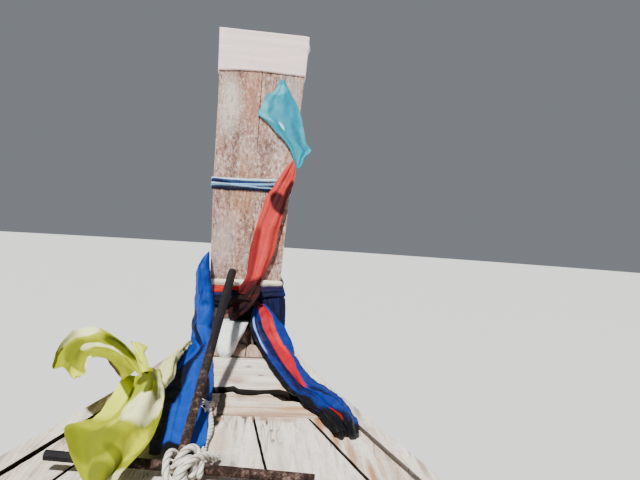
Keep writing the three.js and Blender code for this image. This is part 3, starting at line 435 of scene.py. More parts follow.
TURQUOISE = [                       # four frame points from left to right, then mm that each stands off the post
    (279.6, 79, 281.5, 79.3, 283.5, 80, 285.4, 81.6, 10, 12, 12, 8),
    (274.5, 92, 279, 90, 285, 88, 289.5, 89.5, 8, 15, 13, 6),
    (266.4, 95, 275, 97, 286, 98, 293.5, 97.5, 6, 13, 16, 7),
    (261.5, 107, 274, 106, 288, 106, 297.5, 105, 10, 15, 13, 8),
    (257.8, 114, 272, 116, 289, 117, 301.5, 118, 6, 13, 15, 10),
    (267.5, 122, 279, 124, 292, 126, 303.2, 127, 9, 15, 14, 11),
    (275.5, 131.6, 285, 134, 296, 136, 304.8, 136, 10, 12, 16, 12),
    (283.6, 139.6, 291, 142, 299, 144, 306.5, 144, 12, 14, 16, 14),
    (289.8, 148.6, 296, 150, 304, 151, 311.3, 150.6, 13, 15, 17, 12),
    (293.4, 157.5, 297, 159, 301.5, 159, 305.6, 157.5, 14, 16, 17, 13),
    (295.2, 163, 297.5, 164, 300.5, 164.5, 303.2, 163.5, 14, 16, 17, 14),
    (296.5, 168, 297.5, 168.5, 298.8, 168, 299.8, 167.3, 15, 16, 17, 15),
]
RED = [
    (292.5, 160.3, 293, 160.3, 293.6, 160.5, 294.2, 161, 20, 21, 22, 21),
    (288.5, 165, 291, 165.5, 293.5, 166, 295.4, 167, 20, 22, 23, 21),
    (283.5, 172, 287.5, 173, 292, 174, 295.3, 175, 21, 25, 22, 24),
    (278.2, 179, 283, 181, 289, 183, 293.6, 183.6, 21, 26, 21, 26),
    (272.9, 188, 278.5, 190, 285.5, 191.5, 290.9, 191, 21, 28, 22, 27),
    (266.6, 197, 273, 199.5, 281.5, 201.5, 286.5, 201.5, 21, 29, 24, 24),
    (262, 210, 268.5, 212, 277, 213.5, 283.5, 213.5, 21, 30, 28, 21),
    (258.5, 220, 265, 221.5, 274, 223, 281.3, 222.5, 21, 30, 30, 21),
    (255.4, 230, 262, 231.5, 271, 232.5, 278.9, 231.5, 20, 30, 30, 21),
    (250.3, 250, 257.5, 251, 267, 251, 275.5, 249.5, 20, 31, 30, 20),
    (248.3, 264.7, 254.5, 265, 263, 264.5, 270, 262.5, 21, 32, 30, 20),
    (246.2, 277, 252, 277, 259, 276, 264.2, 275, 23, 34, 31, 22),
    (240.1, 287, 246.5, 288, 254, 287, 260.5, 285.5, 26, 36, 34, 25),
    (236, 293, 242, 294, 250, 294, 257, 292, 27, 34, 33, 27),
]
STRIPED_HANGING = [                 # mm in x, then left edge, pale fold, hollow, stripe from, stripe to, right edge
    (4797, 253, 309, 254.5, 307, 256, 305, 257.5, 303.5, 263, 304, 269, 307),
    (4788, 250.3, 321, 254, 320, 257.5, 318.5, 261, 317, 271, 315, 277, 318),
    (4770, 251, 330, 256, 329.5, 261, 329, 264, 329, 275.5, 329, 285.5, 329.5),
    (4742, 257, 344, 262, 343, 267, 342, 271, 341.5, 282, 342, 292.5, 343),
]
STRIPED_LYING = [                   # mm above the deck, then the same
    (18, 264.5, 356.5, 269.5, 355, 274, 354.5, 278, 354, 290, 354, 295, 354),
    (16, 272, 369, 279, 368, 283, 367, 286, 366.5, 296, 366, 303, 366.5),
    (15, 280.6, 381, 288, 380, 292, 379, 295.5, 378, 300.5, 377, 316, 379),
    (15, 289, 390.6, 295, 390, 299, 389, 302, 387, 306, 385.5, 327, 385.5),
    (15, 297.6, 398, 304, 397, 310, 395.5, 316, 394, 322, 392.5, 337, 391.8),
    (16, 307, 406, 314, 405, 320, 404, 327, 402.5, 335, 401, 347, 402),
    (17, 317, 412, 325, 412, 331, 411.5, 338, 411, 345, 410.5, 353, 412),
    (17, 326, 422, 333, 422, 338, 421.5, 343, 421, 350, 420, 358.5, 418.5),
    (14, 334, 433, 340, 432, 344, 432.5, 349, 432.5, 354, 431.8, 359.4, 433),
]
STRIPED_LIFT = (-0.004, 0.007, -0.003, 0.004, 0.006, -0.003)
PORT_HANGING = [                    # mm: height, then x and y from the free edge round to the post's port side
    (1366, 4806, 111, 4802, 112, 4812, 112, 4846, 113),
    (1327, 4800, 106, 4788, 124, 4790, 139, 4842, 130),
    (1299, 4800, 103, 4782, 120, 4790, 140, 4846, 138),
    (1264, 4800, 94, 4786, 115, 4786, 139, 4850, 140),
    (1228, 4800, 86, 4778, 110, 4790, 138, 4852, 141),
    (1208, 4798, 83, 4784, 108, 4786, 138, 4854, 142),
    (1174, 4792, 82, 4772, 110, 4784, 140, 4852, 146),
    (1140, 4776, 84, 4758, 113, 4770, 144, 4836, 150),
]
PORT_LYING = [                      # mm above the deck, then frame points from port to starboard
    (26, 189, 345, 198, 345, 206, 344, 212, 343),
    (20, 178, 356, 190, 356, 203, 355, 213, 354),
    (18, 164, 367, 181, 368, 199, 369, 213.3, 368),
    (17, 161, 380, 180, 382, 198, 384, 213.2, 385),
    (17, 158, 395, 178, 398, 196, 400, 211.5, 402),
    (16, 155, 415, 174, 418, 190, 419, 208, 417),
    (16, 151, 435, 170, 437, 188, 438, 206.5, 437),
    (13, 149, 453, 167, 455, 186, 456, 203, 454),
]
PORT_LIFT = (0.004, -0.003, 0.004, -0.002)
YELLOW_UPPER = [                    # mm in height, then frame points from outer to inner edge, from the knot to the tip
    (1150, 152, 371, 144, 372, 134, 374, 124.5, 377),
    (1154, 141.8, 360, 135, 362, 127, 366, 119, 371),
    (1158, 132, 350, 126, 353.5, 120, 357.5, 114, 364),
    (1160, 120, 340, 116, 345, 112, 351, 108, 357.5),
    (1161, 103, 331, 102, 339, 100, 347, 98.5, 355),
    (1160, 88.5, 329, 89.5, 339, 90.5, 348, 91.5, 357),
    (1159, 74, 331.5, 79, 341, 84, 351, 88.5, 361),
    (1158, 63, 340.5, 71, 348, 80, 357, 87.5, 367),
    (1157, 56, 352, 65, 359, 76, 366, 86, 374),
    (1156, 53.3, 363, 62, 368.5, 71, 374.5, 80, 379.4),
]
YELLOW_LOWER = [                    # from left edge to right edge, from the knot aft
    (1148, 126, 376, 136, 373, 148, 370, 161, 368),
    (1132, 120, 386, 134, 385, 149, 384, 165, 383),
    (1116, 113, 397, 129, 396, 147, 395.5, 166, 394),
    (1108, 104, 409, 122, 409, 142, 408, 163.5, 408),
    (1104, 91, 420, 113, 421, 136, 421, 159.5, 421),
    (1102, 66, 428, 96, 432, 126, 434, 152.5, 437),
    (1101, 68, 448, 93, 449, 119, 450, 143, 450),
    (1101, 75, 466, 94, 466, 112, 466, 128, 466),
    (1101, 82, 481, 93, 482, 104, 482, 113, 481),
    (1100, 88, 491, 94, 492, 100, 492, 106, 491),
]
YELLOW_TUFT = [                     # the loose end that sticks up at the knot
    (1158, 141, 372, 144, 372, 147, 371, 150, 370),
    (1160, 138.5, 363, 141, 363, 144, 362, 147, 361),
    (1162, 136, 355, 138.5, 356, 141.5, 355, 144, 353),
    (1163, 133.5, 348, 136, 351, 141, 351, 147, 349),
    (1163, 130.5, 343, 134, 346, 139, 346, 148, 346),
    (1162, 130.5, 339, 133, 341, 136, 342, 139, 341),
]


def off_post(table):
    return [[on_post(u, v, off / 1000) for (u, v), off in zip(groups(row[:8]), row[8:])] for row in table]


def striped_rows():
    return [[place(u, v, value / 1000 + sign * lift) for (u, v), lift in zip(groups(row), STRIPED_LIFT)]
            for table, place, sign in ((STRIPED_HANGING, at_x, -1), (STRIPED_LYING, on_deck, 1))
            for value, *row in table]


def port_rows():
    hanging = [[Vector((x, y, z / 1000)) for x, y in reversed(groups(row, 2, 1000))] for z, *row in PORT_HANGING]
    return hanging + [[on_deck(u, v, value / 1000 + lift) for (u, v), lift in zip(groups(row), PORT_LIFT)]
                      for value, *row in PORT_LYING]


def level_rows(table, *wave):
    return [[at_z(u, v, z / 1000 + lift) for (u, v), lift in zip(groups(row), wave)] for z, *row in table]


SHEETS = [      # key, rows, size of the grid, slot, folds, crumple, seed, node and calm ends;
                # then how it is held, what it rests on, and its length over its width
    ("turquoise", off_post(TURQUOISE), (48, 110), "turquoise_cloth", [(1.6, 0.8, 0.0016, 0.3), (3.2, 1.7, 0.0010, 1.1)],
     0.0018, 3.0, "scarf_turquoise", (0.06, 0.1), "hung", "stem_post", 2.0),
    ("red", off_post(RED), (50, 130), "red_cloth", [(1.4, 0.25, 0.0040, 0.5), (3.6, 0.6, 0.0016, 2.0)],
     0.0016, 11.0, "scarf_red", (0.15, 0.0), "gathered", "stem_post", 3.5),
    ("striped", striped_rows(), (66, 200), "striped_cloth", [(2.3, 0.4, 0.0030, 0.9), (5.0, 1.3, 0.0012, 0.4)],
     0.0042, 5.0, "sash_starboard", (0.0, 0.0), "draped", "deck_board_starboard", 6.0),
    ("port", port_rows(), (66, 210), "blue_cloth", [(1.3, 0.7, 0.0050, 0.2), (2.9, -0.8, 0.0022, 0.7)],
     0.0040, 8.0, "sash_port", (0.12, 0.0), "draped", "deck_board_port", 5.0),
    ("upper", level_rows(YELLOW_UPPER, 0.006, -0.004, -0.009, 0.006), (44, 110), "yellow_cloth",
     [(1.6, 0.5, 0.0050, 0.6), (3.4, 0.2, 0.0016, 0.6)], 0.0030, 2.0, "scarf_yellow", (0.0, 0.0),
     "gathered", "gunwale_port", 3.0),
    ("tuft", level_rows(YELLOW_TUFT, 0.003, -0.003, 0.003, -0.002), (20, 44), "yellow_cloth",
     [(1.5, 0.8, 0.0016, 0.6)], 0.0016, 9.0, "scarf_yellow", (0.0, 0.0), "gathered", "gunwale_port", 3.0),
    ("lower", level_rows(YELLOW_LOWER, -0.012, -0.002, 0.008, -0.004), (54, 110), "yellow_cloth",
     [(1.4, 0.35, 0.0060, 1.9), (3.1, 0.2, 0.0018, 0.6)], 0.0034, 6.0, "scarf_yellow", (0.0, 0.0),
     "gathered", "gunwale_port", 2.0),
]


def make_cloth():
    made = {}
    for key, rows, grid, slot, folds, crumple, seed, node, calm, held, rests_on, ratio in SHEETS:
        made[key] = grid_piece("cloth_" + key, rows, *grid, slot, folds, crumple, seed, node, calm)
        declare_sheet(made[key], held, rests_on, ratio)
    return made


CLOTH = make_cloth()


# Bands of cloth tied round the post.
FACE_STEPS = 24                     # points along each face of the post
BAND_COUNT, BAND_SIDES = 300, 40
FOLD_COUNT, FOLD_SIDES = 70, 36


def post_ring(z, slope, off, count):
    """Points round the post at a height, off metres outside its faces, starting aft amidships."""
    aft, front, middle, half = post_section(z)
    port, star = middle + half, middle - half
    corners = [(aft, middle), (aft, port), (front, port), (front, star), (aft, star), (aft, middle)]
    line = [Vector((lerp(x0, x1, k / FACE_STEPS), lerp(y0, y1, k / FACE_STEPS), 0))
            for (x0, y0), (x1, y1) in zip(corners, corners[1:]) for k in range(FACE_STEPS)]
    total = len(line)
    out = []
    for i in range(count):
        place = i * total / count
        k = int(place)
        spot = line[k % total].lerp(line[(k + 1) % total], place - k)
        tangent = sum((line[(k + d + 1) % total] - line[(k - d) % total] for d in range(1, 6)), Vector())
        outward = Vector((tangent.y, -tangent.x, 0)).normalized() * -1
        out.append((Vector((spot.x, spot.y, z + slope * spot.y)) + outward * off, outward))
    return out


def band_piece(name, slot, node, z, slope, half, off, thick, ridges, seed, wander, turns):
    """A gathered strip round the post: an oval section whose outside is pleated along its length."""
    count, sides = BAND_COUNT, BAND_SIDES
    verts, uvs = [], []
    for i, (place, outward) in enumerate(post_ring(z, slope, off, count)):
        s = i / count
        way = Vector((math.cos(TURN * s), math.sin(TURN * s), 0))
        drift = wander * noise.noise(way * 2 + Vector((0, 0, seed)))
        fat = 1 + 0.25 * noise.noise(way * 3 + Vector((0, 0, seed + 5)))
        for k in range(sides):
            angle = TURN * k / sides
            bumps = noise.noise(way * 4 + Vector((0, 0, seed)) + Vector((math.cos(angle), math.sin(angle), 0)) * 2)
            pleat = 1 + 0.16 * math.sin(ridges * angle + turns * TURN * s + seed) + 0.12 * bumps
            out = thick * 0.5 * (1 + math.cos(angle) * pleat)
            up = half * fat * math.sin(angle) * (0.9 + 0.1 * pleat)
            verts.append(place + outward * out + Vector((0, 0, up + drift)))
            uvs.append((k / sides, s * 8))
    return add_piece(name, verts, quads(count, sides, True, True), slot, replaces=(node,), uvs=uvs)


def fold_tube(name, slot, node, route, width, thick, ridges, seed):
    """A gathered length of cloth along a route, with pleats that run along it."""
    count, sides = FOLD_COUNT, FOLD_SIDES
    widths = [w[0] for w in curve_through([Vector((w, 0, 0)) for w in width], count)]

    def ring(i, side, up):
        points = []
        for k in range(sides):
            angle = TURN * k / sides
            lump = rough_at(i * 0.06, math.cos(angle) * 2, math.sin(angle) * 2 + seed)
            pleat = 1 + 0.17 * math.sin(ridges * angle + i * 0.03 + seed) + 0.2 * lump
            points.append(side * math.cos(angle) * widths[i] * 0.5 * pleat + up * math.sin(angle) * thick * 0.5 * pleat)
        return points

    verts, faces = tube(curve_through(route, count), ring)
    uvs = [((k % sides) / sides, (k // sides) / count * 4) for k in range(len(verts))]
    return add_piece(name, verts, faces, slot, replaces=(node,), uvs=uvs)


BAND_ROWS = [   # key, name, height, slope, half height, stand-off, thickness, ridges, seed, wander, twists
    ("cream", "wrap_cream", 1.275, -0.026, 0.0105, 0.002, 0.010, 3, 1.0, 0.001, 0),
    ("scarlet", "wrap_red", 1.253, -0.05, 0.013, 0.002, 0.014, 5, 2.0, 0.002, 0),
    ("navy", "wrap_navy", 1.236, -0.083, 0.018, 0.002, 0.019, 6, 3.0, 0.004, 1),
    ("dark", "wrap_dark", 1.207, 0.12, 0.019, 0.002, 0.016, 7, 4.0, 0.004, 1),
]
KNOT_ROWS = [   # key, name, frame points with mm that each stands off the post, widths, thickness, ridges, seed
    ("knot", "wrap_knot", (256, 287, 26, 250, 296, 34, 243, 304, 34, 236, 311, 28, 231, 316, 18),
     (0.045, 0.060, 0.062, 0.050, 0.028), 0.026, 5, 1.3),
    ("over", "wrap_knot_over", (228, 303, 14, 237, 299, 30, 247, 300, 36, 257, 304, 26, 263, 310, 12),
     (0.02, 0.040, 0.050, 0.034, 0.02), 0.020, 4, 2.3),
]
WRAP_TAIL = [
    (260, 300, 268, 299, 277, 298, 285, 298, 20, 26, 26, 18),
    (262, 308, 270, 308, 278, 308, 285.5, 307, 20, 27, 24, 16),
    (266, 317, 273, 317, 279, 318, 285, 317, 18, 24, 26, 16),
    (272, 326, 276, 327, 281, 329, 284.5, 328, 14, 22, 22, 14),
]
RIBBON_ROWS = [("white", 1.600, -0.03, 0.0045, 0.006), ("navy", 1.590, 0.02, 0.0050, 0.005),
               ("sky", 1.585, -0.07, 0.0040, 0.007), ("pale", 1.577, 0.04, 0.0035, 0.006),
               ("deep", 1.570, -0.02, 0.0050, 0.005)]


def make_bands():
    pieces = {key: band_piece(name, "wrap_cloth", "base_wrap", *row) for key, name, *row in BAND_ROWS}
    for key, name, route, *row in KNOT_ROWS:
        points = [on_post(u, v, off / 1000) for u, v, off in groups(route, 3)]
        pieces[key] = fold_tube(name, "wrap_cloth", "base_wrap", points, *row)
    pieces["tail"] = grid_piece("wrap_tail", off_post(WRAP_TAIL), 30, 50, "wrap_cloth", [(3.0, 0.2, 0.0020, 0.4)],
                                0.0010, 4.0, "base_wrap")
    declare_sheet(pieces["tail"], "hung", "stem_post", 1.2)
    for key, z, slope, half, thick in RIBBON_ROWS:
        name = "ribbon_" + key
        pieces[name] = band_piece(name, "ribbon_cloth", "post_ribbon", z, slope, half, 0.0012, thick, 3, z * 100,
                                  0.002, 1)
    return pieces


def make_tie():
    """The twisted end of the yellow scarf, along the port gunwale towards the post."""
    route = [on_deck(u, v, lift / 1000) for u, v, lift in
             groups((160, 384, 60, 166, 374, 60, 171, 362, 50, 180, 352, 32, 190, 343, 26), 3)]
    return fold_tube("yellow_tie", "yellow_cloth", "scarf_yellow", route, (0.030, 0.034, 0.026, 0.018, 0.012), 0.020,
                     4, 5.0)


BANDS = make_bands()
CLOTH["tie"] = make_tie()


# Timber drawn board by board: a worn top, rounded arrises and ragged ends.
RAIL_IN, COVER_WIDE, GAP, WIDEST = 0.0465, 0.0775, 0.006, 0.319    # gunwale, covering board, gap, long boards' side
SEAM = {"aft": -0.11, "fore": -0.048, "slope": 0.1333, "x": 4.309}  # y of the seam between the two long boards


def beam_inside(x):
    return along(1, x) - RAIL_IN


def cover_inside(x):
    return min(WIDEST, beam_inside(x) - (COVER_WIDE + GAP))


def seam_at(x):
    return max(SEAM["aft"], SEAM["fore"] - SEAM["slope"] * (SEAM["x"] - x))


def inset(side, by):
    """A board's port side, moved in by a distance."""
    return lambda x: side(x) - by


def mirrored(side):
    return lambda x: -side(x)


EDGES = {                           # mm: the ragged ends of the two cross boards, as y and x from port to starboard
    "fore_aft": (
        64, 4452, 47, 4454, 24, 4456, 10, 4458, 0, 4466, -8, 4448, -40, 4445, -64, 4447, -87, 4453, -97, 4445,
        -104, 4414, -121, 4415, -144, 4410, -178, 4385),
    "cross_fore": (
        61, 4417, 43, 4418, 21, 4420, -1, 4431, -10, 4418, -27, 4412, -50, 4411, -70, 4421, -87, 4424, -96, 4426,
        -104, 4389, -120, 4385, -134, 4387, -175, 4366),
    "cross_aft": (
        34, 4317, 8, 4321, -22, 4315, -49, 4312, -83, 4312, -124, 4310, -165, 4309, -193, 4296),
}


def ragged(name, y):
    table = groups(EDGES[name], 2, 1000)
    return between_rows(table, y) + (0.004 * rough_at(y * 60, 0, 3) if y >= table[0][0] else 0)


def board_rows(length, step, edge):
    """Distances along a board, closer together at both ends for its rounded edges."""
    near = [0.0, edge * 0.15, edge * 0.45, edge]
    count = max(2, round((length - 2 * edge) / step))
    inner = [edge + (length - 2 * edge) * k / count for k in range(1, count)]
    return near + inner + [length - q for q in reversed(near)]


WEAR, BROAD_WEAR, CHIP = 0.0009, 0.0008, 0.0016     # how deep the top and the edges are worn


def board(name, node, low, high, aft, fore, seed, slot="deck_wood", step=0.011, edge=0.005, thick=0.026, lift=0.0):
    """A board between two sides, y at x, and two ends, x at y; it follows the sheer and is worn along its edges."""
    middle = 0.5 * (aft(0.0) + fore(0.0))
    width = high(middle) - low(middle)
    xs = board_rows(fore(0.0) - aft(0.0), step, edge)
    ys = board_rows(width, step, edge)
    verts = []
    for under in (False, True):
        for dx in xs:
            for dy in ys:
                y0 = lerp(low(middle), high(middle), dy / ys[-1])
                x = lerp(aft(y0), fore(y0), dx / xs[-1])
                y = lerp(low(x), high(x), dy / ys[-1])
                place = Vector((x * 9, y * 70, seed)) if xs[-1] > ys[-1] else Vector((x * 70, y * 9, seed))
                from_edge = min(dx, xs[-1] - dx, dy, ys[-1] - dy)
                round_off = edge * 0.6 * (1 - math.sqrt(1 - max(0.0, 1 - from_edge / edge) ** 2))
                wear = WEAR * noise.noise(place) + BROAD_WEAR * noise.noise(place * 0.3)
                chip = CHIP * rough_at(x * 130, y * 130, seed + 4) if from_edge < edge else 0
                z = deck_at(x) + lift - (thick if under else round_off - wear)
                verts.append((x + chip, y + chip, z))
    n, m = len(xs), len(ys)
    top = quads(n, m)
    faces = [(a, d, c, b) for a, b, c, d in top] + [tuple(n * m + k for k in (b, c, d, a)) for a, b, c, d in top]
    rim = list(range(m)) + [i * m + m - 1 for i in range(1, n)]
    rim += [(n - 1) * m + k for k in range(m - 2, -1, -1)] + [i * m for i in range(n - 2, 0, -1)]
    faces += [(p, q, q + n * m, p + n * m) for p, q in zip(rim, rim[1:] + rim[:1])]
    return add_piece(name, verts, faces, slot, replaces=(node,) if node else ())


HALF_SEAM, FORE_END = 0.0020, 4.668
LONG_ENDS, BEAM_ENDS = (2.851, 4.306), (4.372, 4.530)
BEAM_LOOK = {"slot": "warm_wood", "thick": 0.040, "lift": -0.031, "step": 0.02}


def make_boards():
    ends = {x: (lambda y, x=x: x) for x in (*LONG_ENDS, *BEAM_ENDS, FORE_END)}
    ends |= {name: (lambda y, name=name: ragged(name, y)) for name in EDGES}
    warm, long = {"slot": "warm_wood"}, {"step": 0.014, "edge": 0.004}
    full, cover, beam = (mirrored(beam_inside), beam_inside), inset(beam_inside, COVER_WIDE), inset(beam_inside, 0.035)
    rows = [        # key, name, node, starboard and port side, aft and fore end, settings; the order sets the seeds
        ("plank_a", "foredeck_board_1", "deck_plank_fore", *full, "fore_aft", FORE_END, {}),
        ("plank_b", "foredeck_board_2", "deck_plank_cross", *full, "cross_aft", "cross_fore", warm),
        ("beam", "foredeck_beam", None, mirrored(beam), beam, *BEAM_ENDS, BEAM_LOOK),
        ("long_port", "foredeck_long_port", "deck_board_port", inset(seam_at, -HALF_SEAM), cover_inside,
         *LONG_ENDS, long),
        ("long_star", "foredeck_long_starboard", "deck_board_starboard", mirrored(cover_inside),
         inset(seam_at, HALF_SEAM), *LONG_ENDS, long),
        ("cover_port", "covering_port", "covering_board_port", cover, beam_inside, *LONG_ENDS, warm | long),
        ("cover_star", "covering_starboard", "covering_board_starboard", full[0], mirrored(cover), *LONG_ENDS,
         warm | long),
    ]
    return {key: board(name, node, low, high, ends[aft], ends[fore], 1.0 + i, **settings)
            for i, (key, name, node, low, high, aft, fore, settings) in enumerate(rows)}


BOARDS = make_boards()


# The white knee, with a rounded toe, and the painted band round the head of the post.
KNEE = [(0.001, 4.655, 0.014, 0.060), (0.012, 4.652, 0.012, 0.064), (0.032, 4.668, 0.004, 0.067),
        (0.050, 4.708, -0.010, 0.069), (0.066, 4.762, -0.020, 0.070)]      # height, toe, starboard side, port side
CAP_EDGE = groups((170, 1970, 139, 1970, 68, 1978, -5, 1981, -84, 1978.5, -170, 1977), 2, 1000)     # mm: y and z


def make_knee():
    verts = []
    for up, toe, low, high in KNEE:
        face = post_section(POST_FOOT + up)[0] - 0.001
        bend = min(0.016, (face - toe) / 3)
        corner = [(toe + bend * 2, 0), (toe + bend * 0.6, bend * 0.5), (toe, bend * 1.2)]
        outline = [(face, low)] + [(x, low + y) for x, y in corner]
        outline += [(x, high - y) for x, y in reversed(corner)] + [(face, high)]
        verts += [(x, y, deck_at(x) + up) for x, y in outline]
    item = add_piece("knee_block", verts, closed_tube(len(KNEE), 8), "white_paint", replaces=("stem_knee",))
    mesh = bmesh.new()
    mesh.from_mesh(item.data)
    bmesh.ops.recalc_face_normals(mesh, faces=mesh.faces)
    bmesh.ops.subdivide_edges(mesh, edges=mesh.edges, cuts=2, use_grid_fill=True)
    for vert in mesh.verts:
        vert.co += vert.normal * 0.0007 * noise.noise(vert.co * 60)
    mesh.to_mesh(item.data)
    mesh.free()
    return item


def cap_low(place):
    """Height of the band's lower edge; it droops at the port corner."""
    return between_rows(CAP_EDGE, place.y) + 0.0012 * noise.noise(place * 90)


CAP_COUNT, CAP_ROWS = 260, 30
CAP_OFF, CAP_OVER = 0.0045, 0.006   # how far it stands off the post, and above its head
TEAR = {"z": 2.088, "reach": 0.014, "deep": 0.03, "high": 0.010}    # the torn lump at the starboard aft corner


def make_cap():
    count, rows = CAP_COUNT, CAP_ROWS
    low, top = CAP_EDGE[-1][1], POST_HEAD + CAP_OVER
    verts = []
    for i in range(-1, rows + 1):
        t = max(0, i) / rows
        level = lerp(low, top, t)
        for place, outward in post_ring(level, 0, CAP_OFF if i >= 0 else 0.001, count):
            z = lerp(cap_low(place), top, t)
            bulge = 0.0008 * rough_at(place.x * 20, place.y * 20, z * 9)
            corner = max(0, -outward.y) * math.exp(-((z - TEAR["z"]) / TEAR["reach"]) ** 2)
            if place.x < post_section(z)[0] + TEAR["deep"]:
                bulge += TEAR["high"] * corner * (0.6 + 0.4 * noise.noise(place * 80))
            tip = 0.003 * max(0, rough_at(0, place.y * 40, 1)) if i == rows else 0
            verts.append(Vector((place.x + POST_RAKE * (z - level), place.y, z - tip)) + outward * bulge)
    faces = quads(rows + 2, count, across=True) + [tuple(range((rows + 1) * count, (rows + 2) * count))]
    return add_piece("head_band", verts, faces, "cap_paint", replaces=("stem_cap",))


CAP = make_cap()
KNEE_BLOCK = make_knee()


# The canopy's cloth: one sheet over the bows, sagging between them, with a scalloped valance down each side.
CANOPY = {"aft": -2.3, "fore": 1.6, "bow": -2.15, "step": 0.6, "bows": 7, "low": 1.735, "side": 0.9115, "edge": 0.899,
          "scallop": 0.26, "rail": (0.87, 1.83)}
BATTENS = (-0.59, 0.0, 0.59)


BOW = {"z": 1.864, "rise": 0.23, "span": 1.84}
SAG, CLEAR = 0.009, 0.0195          # of the cloth between two bows, and over them


def bow_z(y):
    return BOW["z"] + BOW["rise"] * math.cos(math.pi * y / BOW["span"])


def canopy_point(x, y):
    """A point of the cloth over the bows."""
    phase = (x - CANOPY["bow"]) / CANOPY["step"]
    hollow = math.sin(math.pi * phase) ** 2 if 0 < phase < CANOPY["bows"] - 1 else 0
    free = min(1, min(abs(y - b) for b in BATTENS) / 0.16)
    pucker = 0.0030 * rough_at(x * 16, y * 2.5, 1) + 0.0022 * rough_at(x * 5, y * 7, 4)
    return Vector((x, y, bow_z(y) + CLEAR - SAG * hollow * free + pucker * (0.4 + 0.6 * free)))


def valance_point(x, side, t):
    """A point of the valance; t runs from its scalloped edge at 0 up to the fold at 1."""
    scallop = 0.026 * (1 - abs(math.sin(math.pi * (x - CANOPY["aft"]) / CANOPY["scallop"])) ** 0.6)
    wave = 0.006 * math.sin(x * 19 + side) + 0.005 * rough_at(x * 6, side, 2)
    y = side * (CANOPY["side"] + wave * (1 - t) - 0.004 * t)
    return Vector((x, y, lerp(CANOPY["low"] + scallop, bow_z(0.89) + 0.006, t)))


def make_canopy():
    count, drop, over = 260, 10, 64
    wide = 2 * drop + over + 1
    verts, uvs = [], []
    for i in range(count):
        x = lerp(CANOPY["aft"], CANOPY["fore"], i / (count - 1))
        verts += [valance_point(x, -1, k / drop) for k in range(drop)]
        verts += [canopy_point(x, lerp(-CANOPY["edge"], CANOPY["edge"], k / over)) for k in range(over + 1)]
        verts += [valance_point(x, 1, 1 - k / drop) for k in range(1, drop + 1)]
        uvs += [(k / wide, i / count) for k in range(wide)]
    item = add_piece("canopy_sheet", verts, quads(count, wide), "canopy_cloth", replaces=("canopy_cloth",), uvs=uvs)
    return item


def lathe(centre, axis, profile, sides=28):
    """A turned shape on an axis: profile is a list of (radius, distance along the axis)."""
    a = Vector(axis).normalized()
    side = Vector((0, 0, 1)).cross(a) if abs(a.z) < 0.9 else Vector((1, 0, 0))
    side.normalize()
    up = a.cross(side)
    verts = [Vector(centre) + a * h + q for r, h in profile for q in circle(side, up, r, sides)]
    return verts, closed_tube(len(profile), sides)


RAIL_RADIUS, CORD, LASHING_STEP = 0.0185, 0.003, 0.0065     # radii of the rail and the cord, and the cord's pitch


def make_lashings():
    """Cord wound round each rail where a bow meets it."""
    angles = [TURN * j / 8 for j in range(9)]
    ring = [(RAIL_RADIUS + CORD * math.sin(q), CORD * math.cos(q)) for q in angles]
    y, z = CANOPY["rail"]
    shapes = []
    for side in (-1, 1):
        for k in range(CANOPY["bows"]):
            x = CANOPY["bow"] + CANOPY["step"] * k
            for turn in range(4):
                place = (x - 0.014 + turn * LASHING_STEP + (0.03 if k % 2 == 0 else 0), y * side, z)
                shapes.append(lathe(place, (1, 0, 0), ring, 16))
    return add_piece("canopy_lashings", *joined(shapes), "rope")


CANOPY_SHEET = make_canopy()
LASHINGS = make_lashings()


# Shader building blocks.
class Wire:
    """The result of a node, with arithmetic."""

    def __init__(self, shader, socket):
        self.shader = shader
        self.socket = socket

    def math(self, operation, a, b=0.0):
        return self.shader.node("Math", a, b, operation=operation)

    def __add__(self, other):
        return self.math("ADD", self, other)

    def __sub__(self, other):
        return self.math("SUBTRACT", self, other)

    def __rsub__(self, other):
        return self.math("SUBTRACT", other, self)

    def __mul__(self, other):
        return self.math("MULTIPLY", self, other)

    def __abs__(self):
        return self.math("ABSOLUTE", self)

    def most(self, other):
        return self.math("MAXIMUM", self, other)

    def clamped(self):
        self.socket.node.use_clamp = True
        return self

    def ramp(self, *stops):
        """A grey or colour ramp; stops are places, each with its number or colour."""
        out = self.shader.node("ValToRGB", self)
        band = out.socket.node.color_ramp
        stops = list(zip(stops[::2], stops[1::2]))
        while len(band.elements) < len(stops):
            band.elements.new(0.5)
        for element, (place, value) in zip(band.elements, stops):
            element.position = place
            element.color = (value, value, value, 1) if isinstance(value, (int, float)) else (*value, 1)
        return out

    def between(self, low, high, soft):
        """1 where the value lies between two limits."""
        rise = ((self - (low - soft)) * (0.5 / soft)).clamped()
        return rise * ((high + soft - self) * (0.5 / soft)).clamped()

    def parts(self):
        return [Wire(self.shader, out) for out in self.shader.node("SeparateXYZ", self).socket.node.outputs]


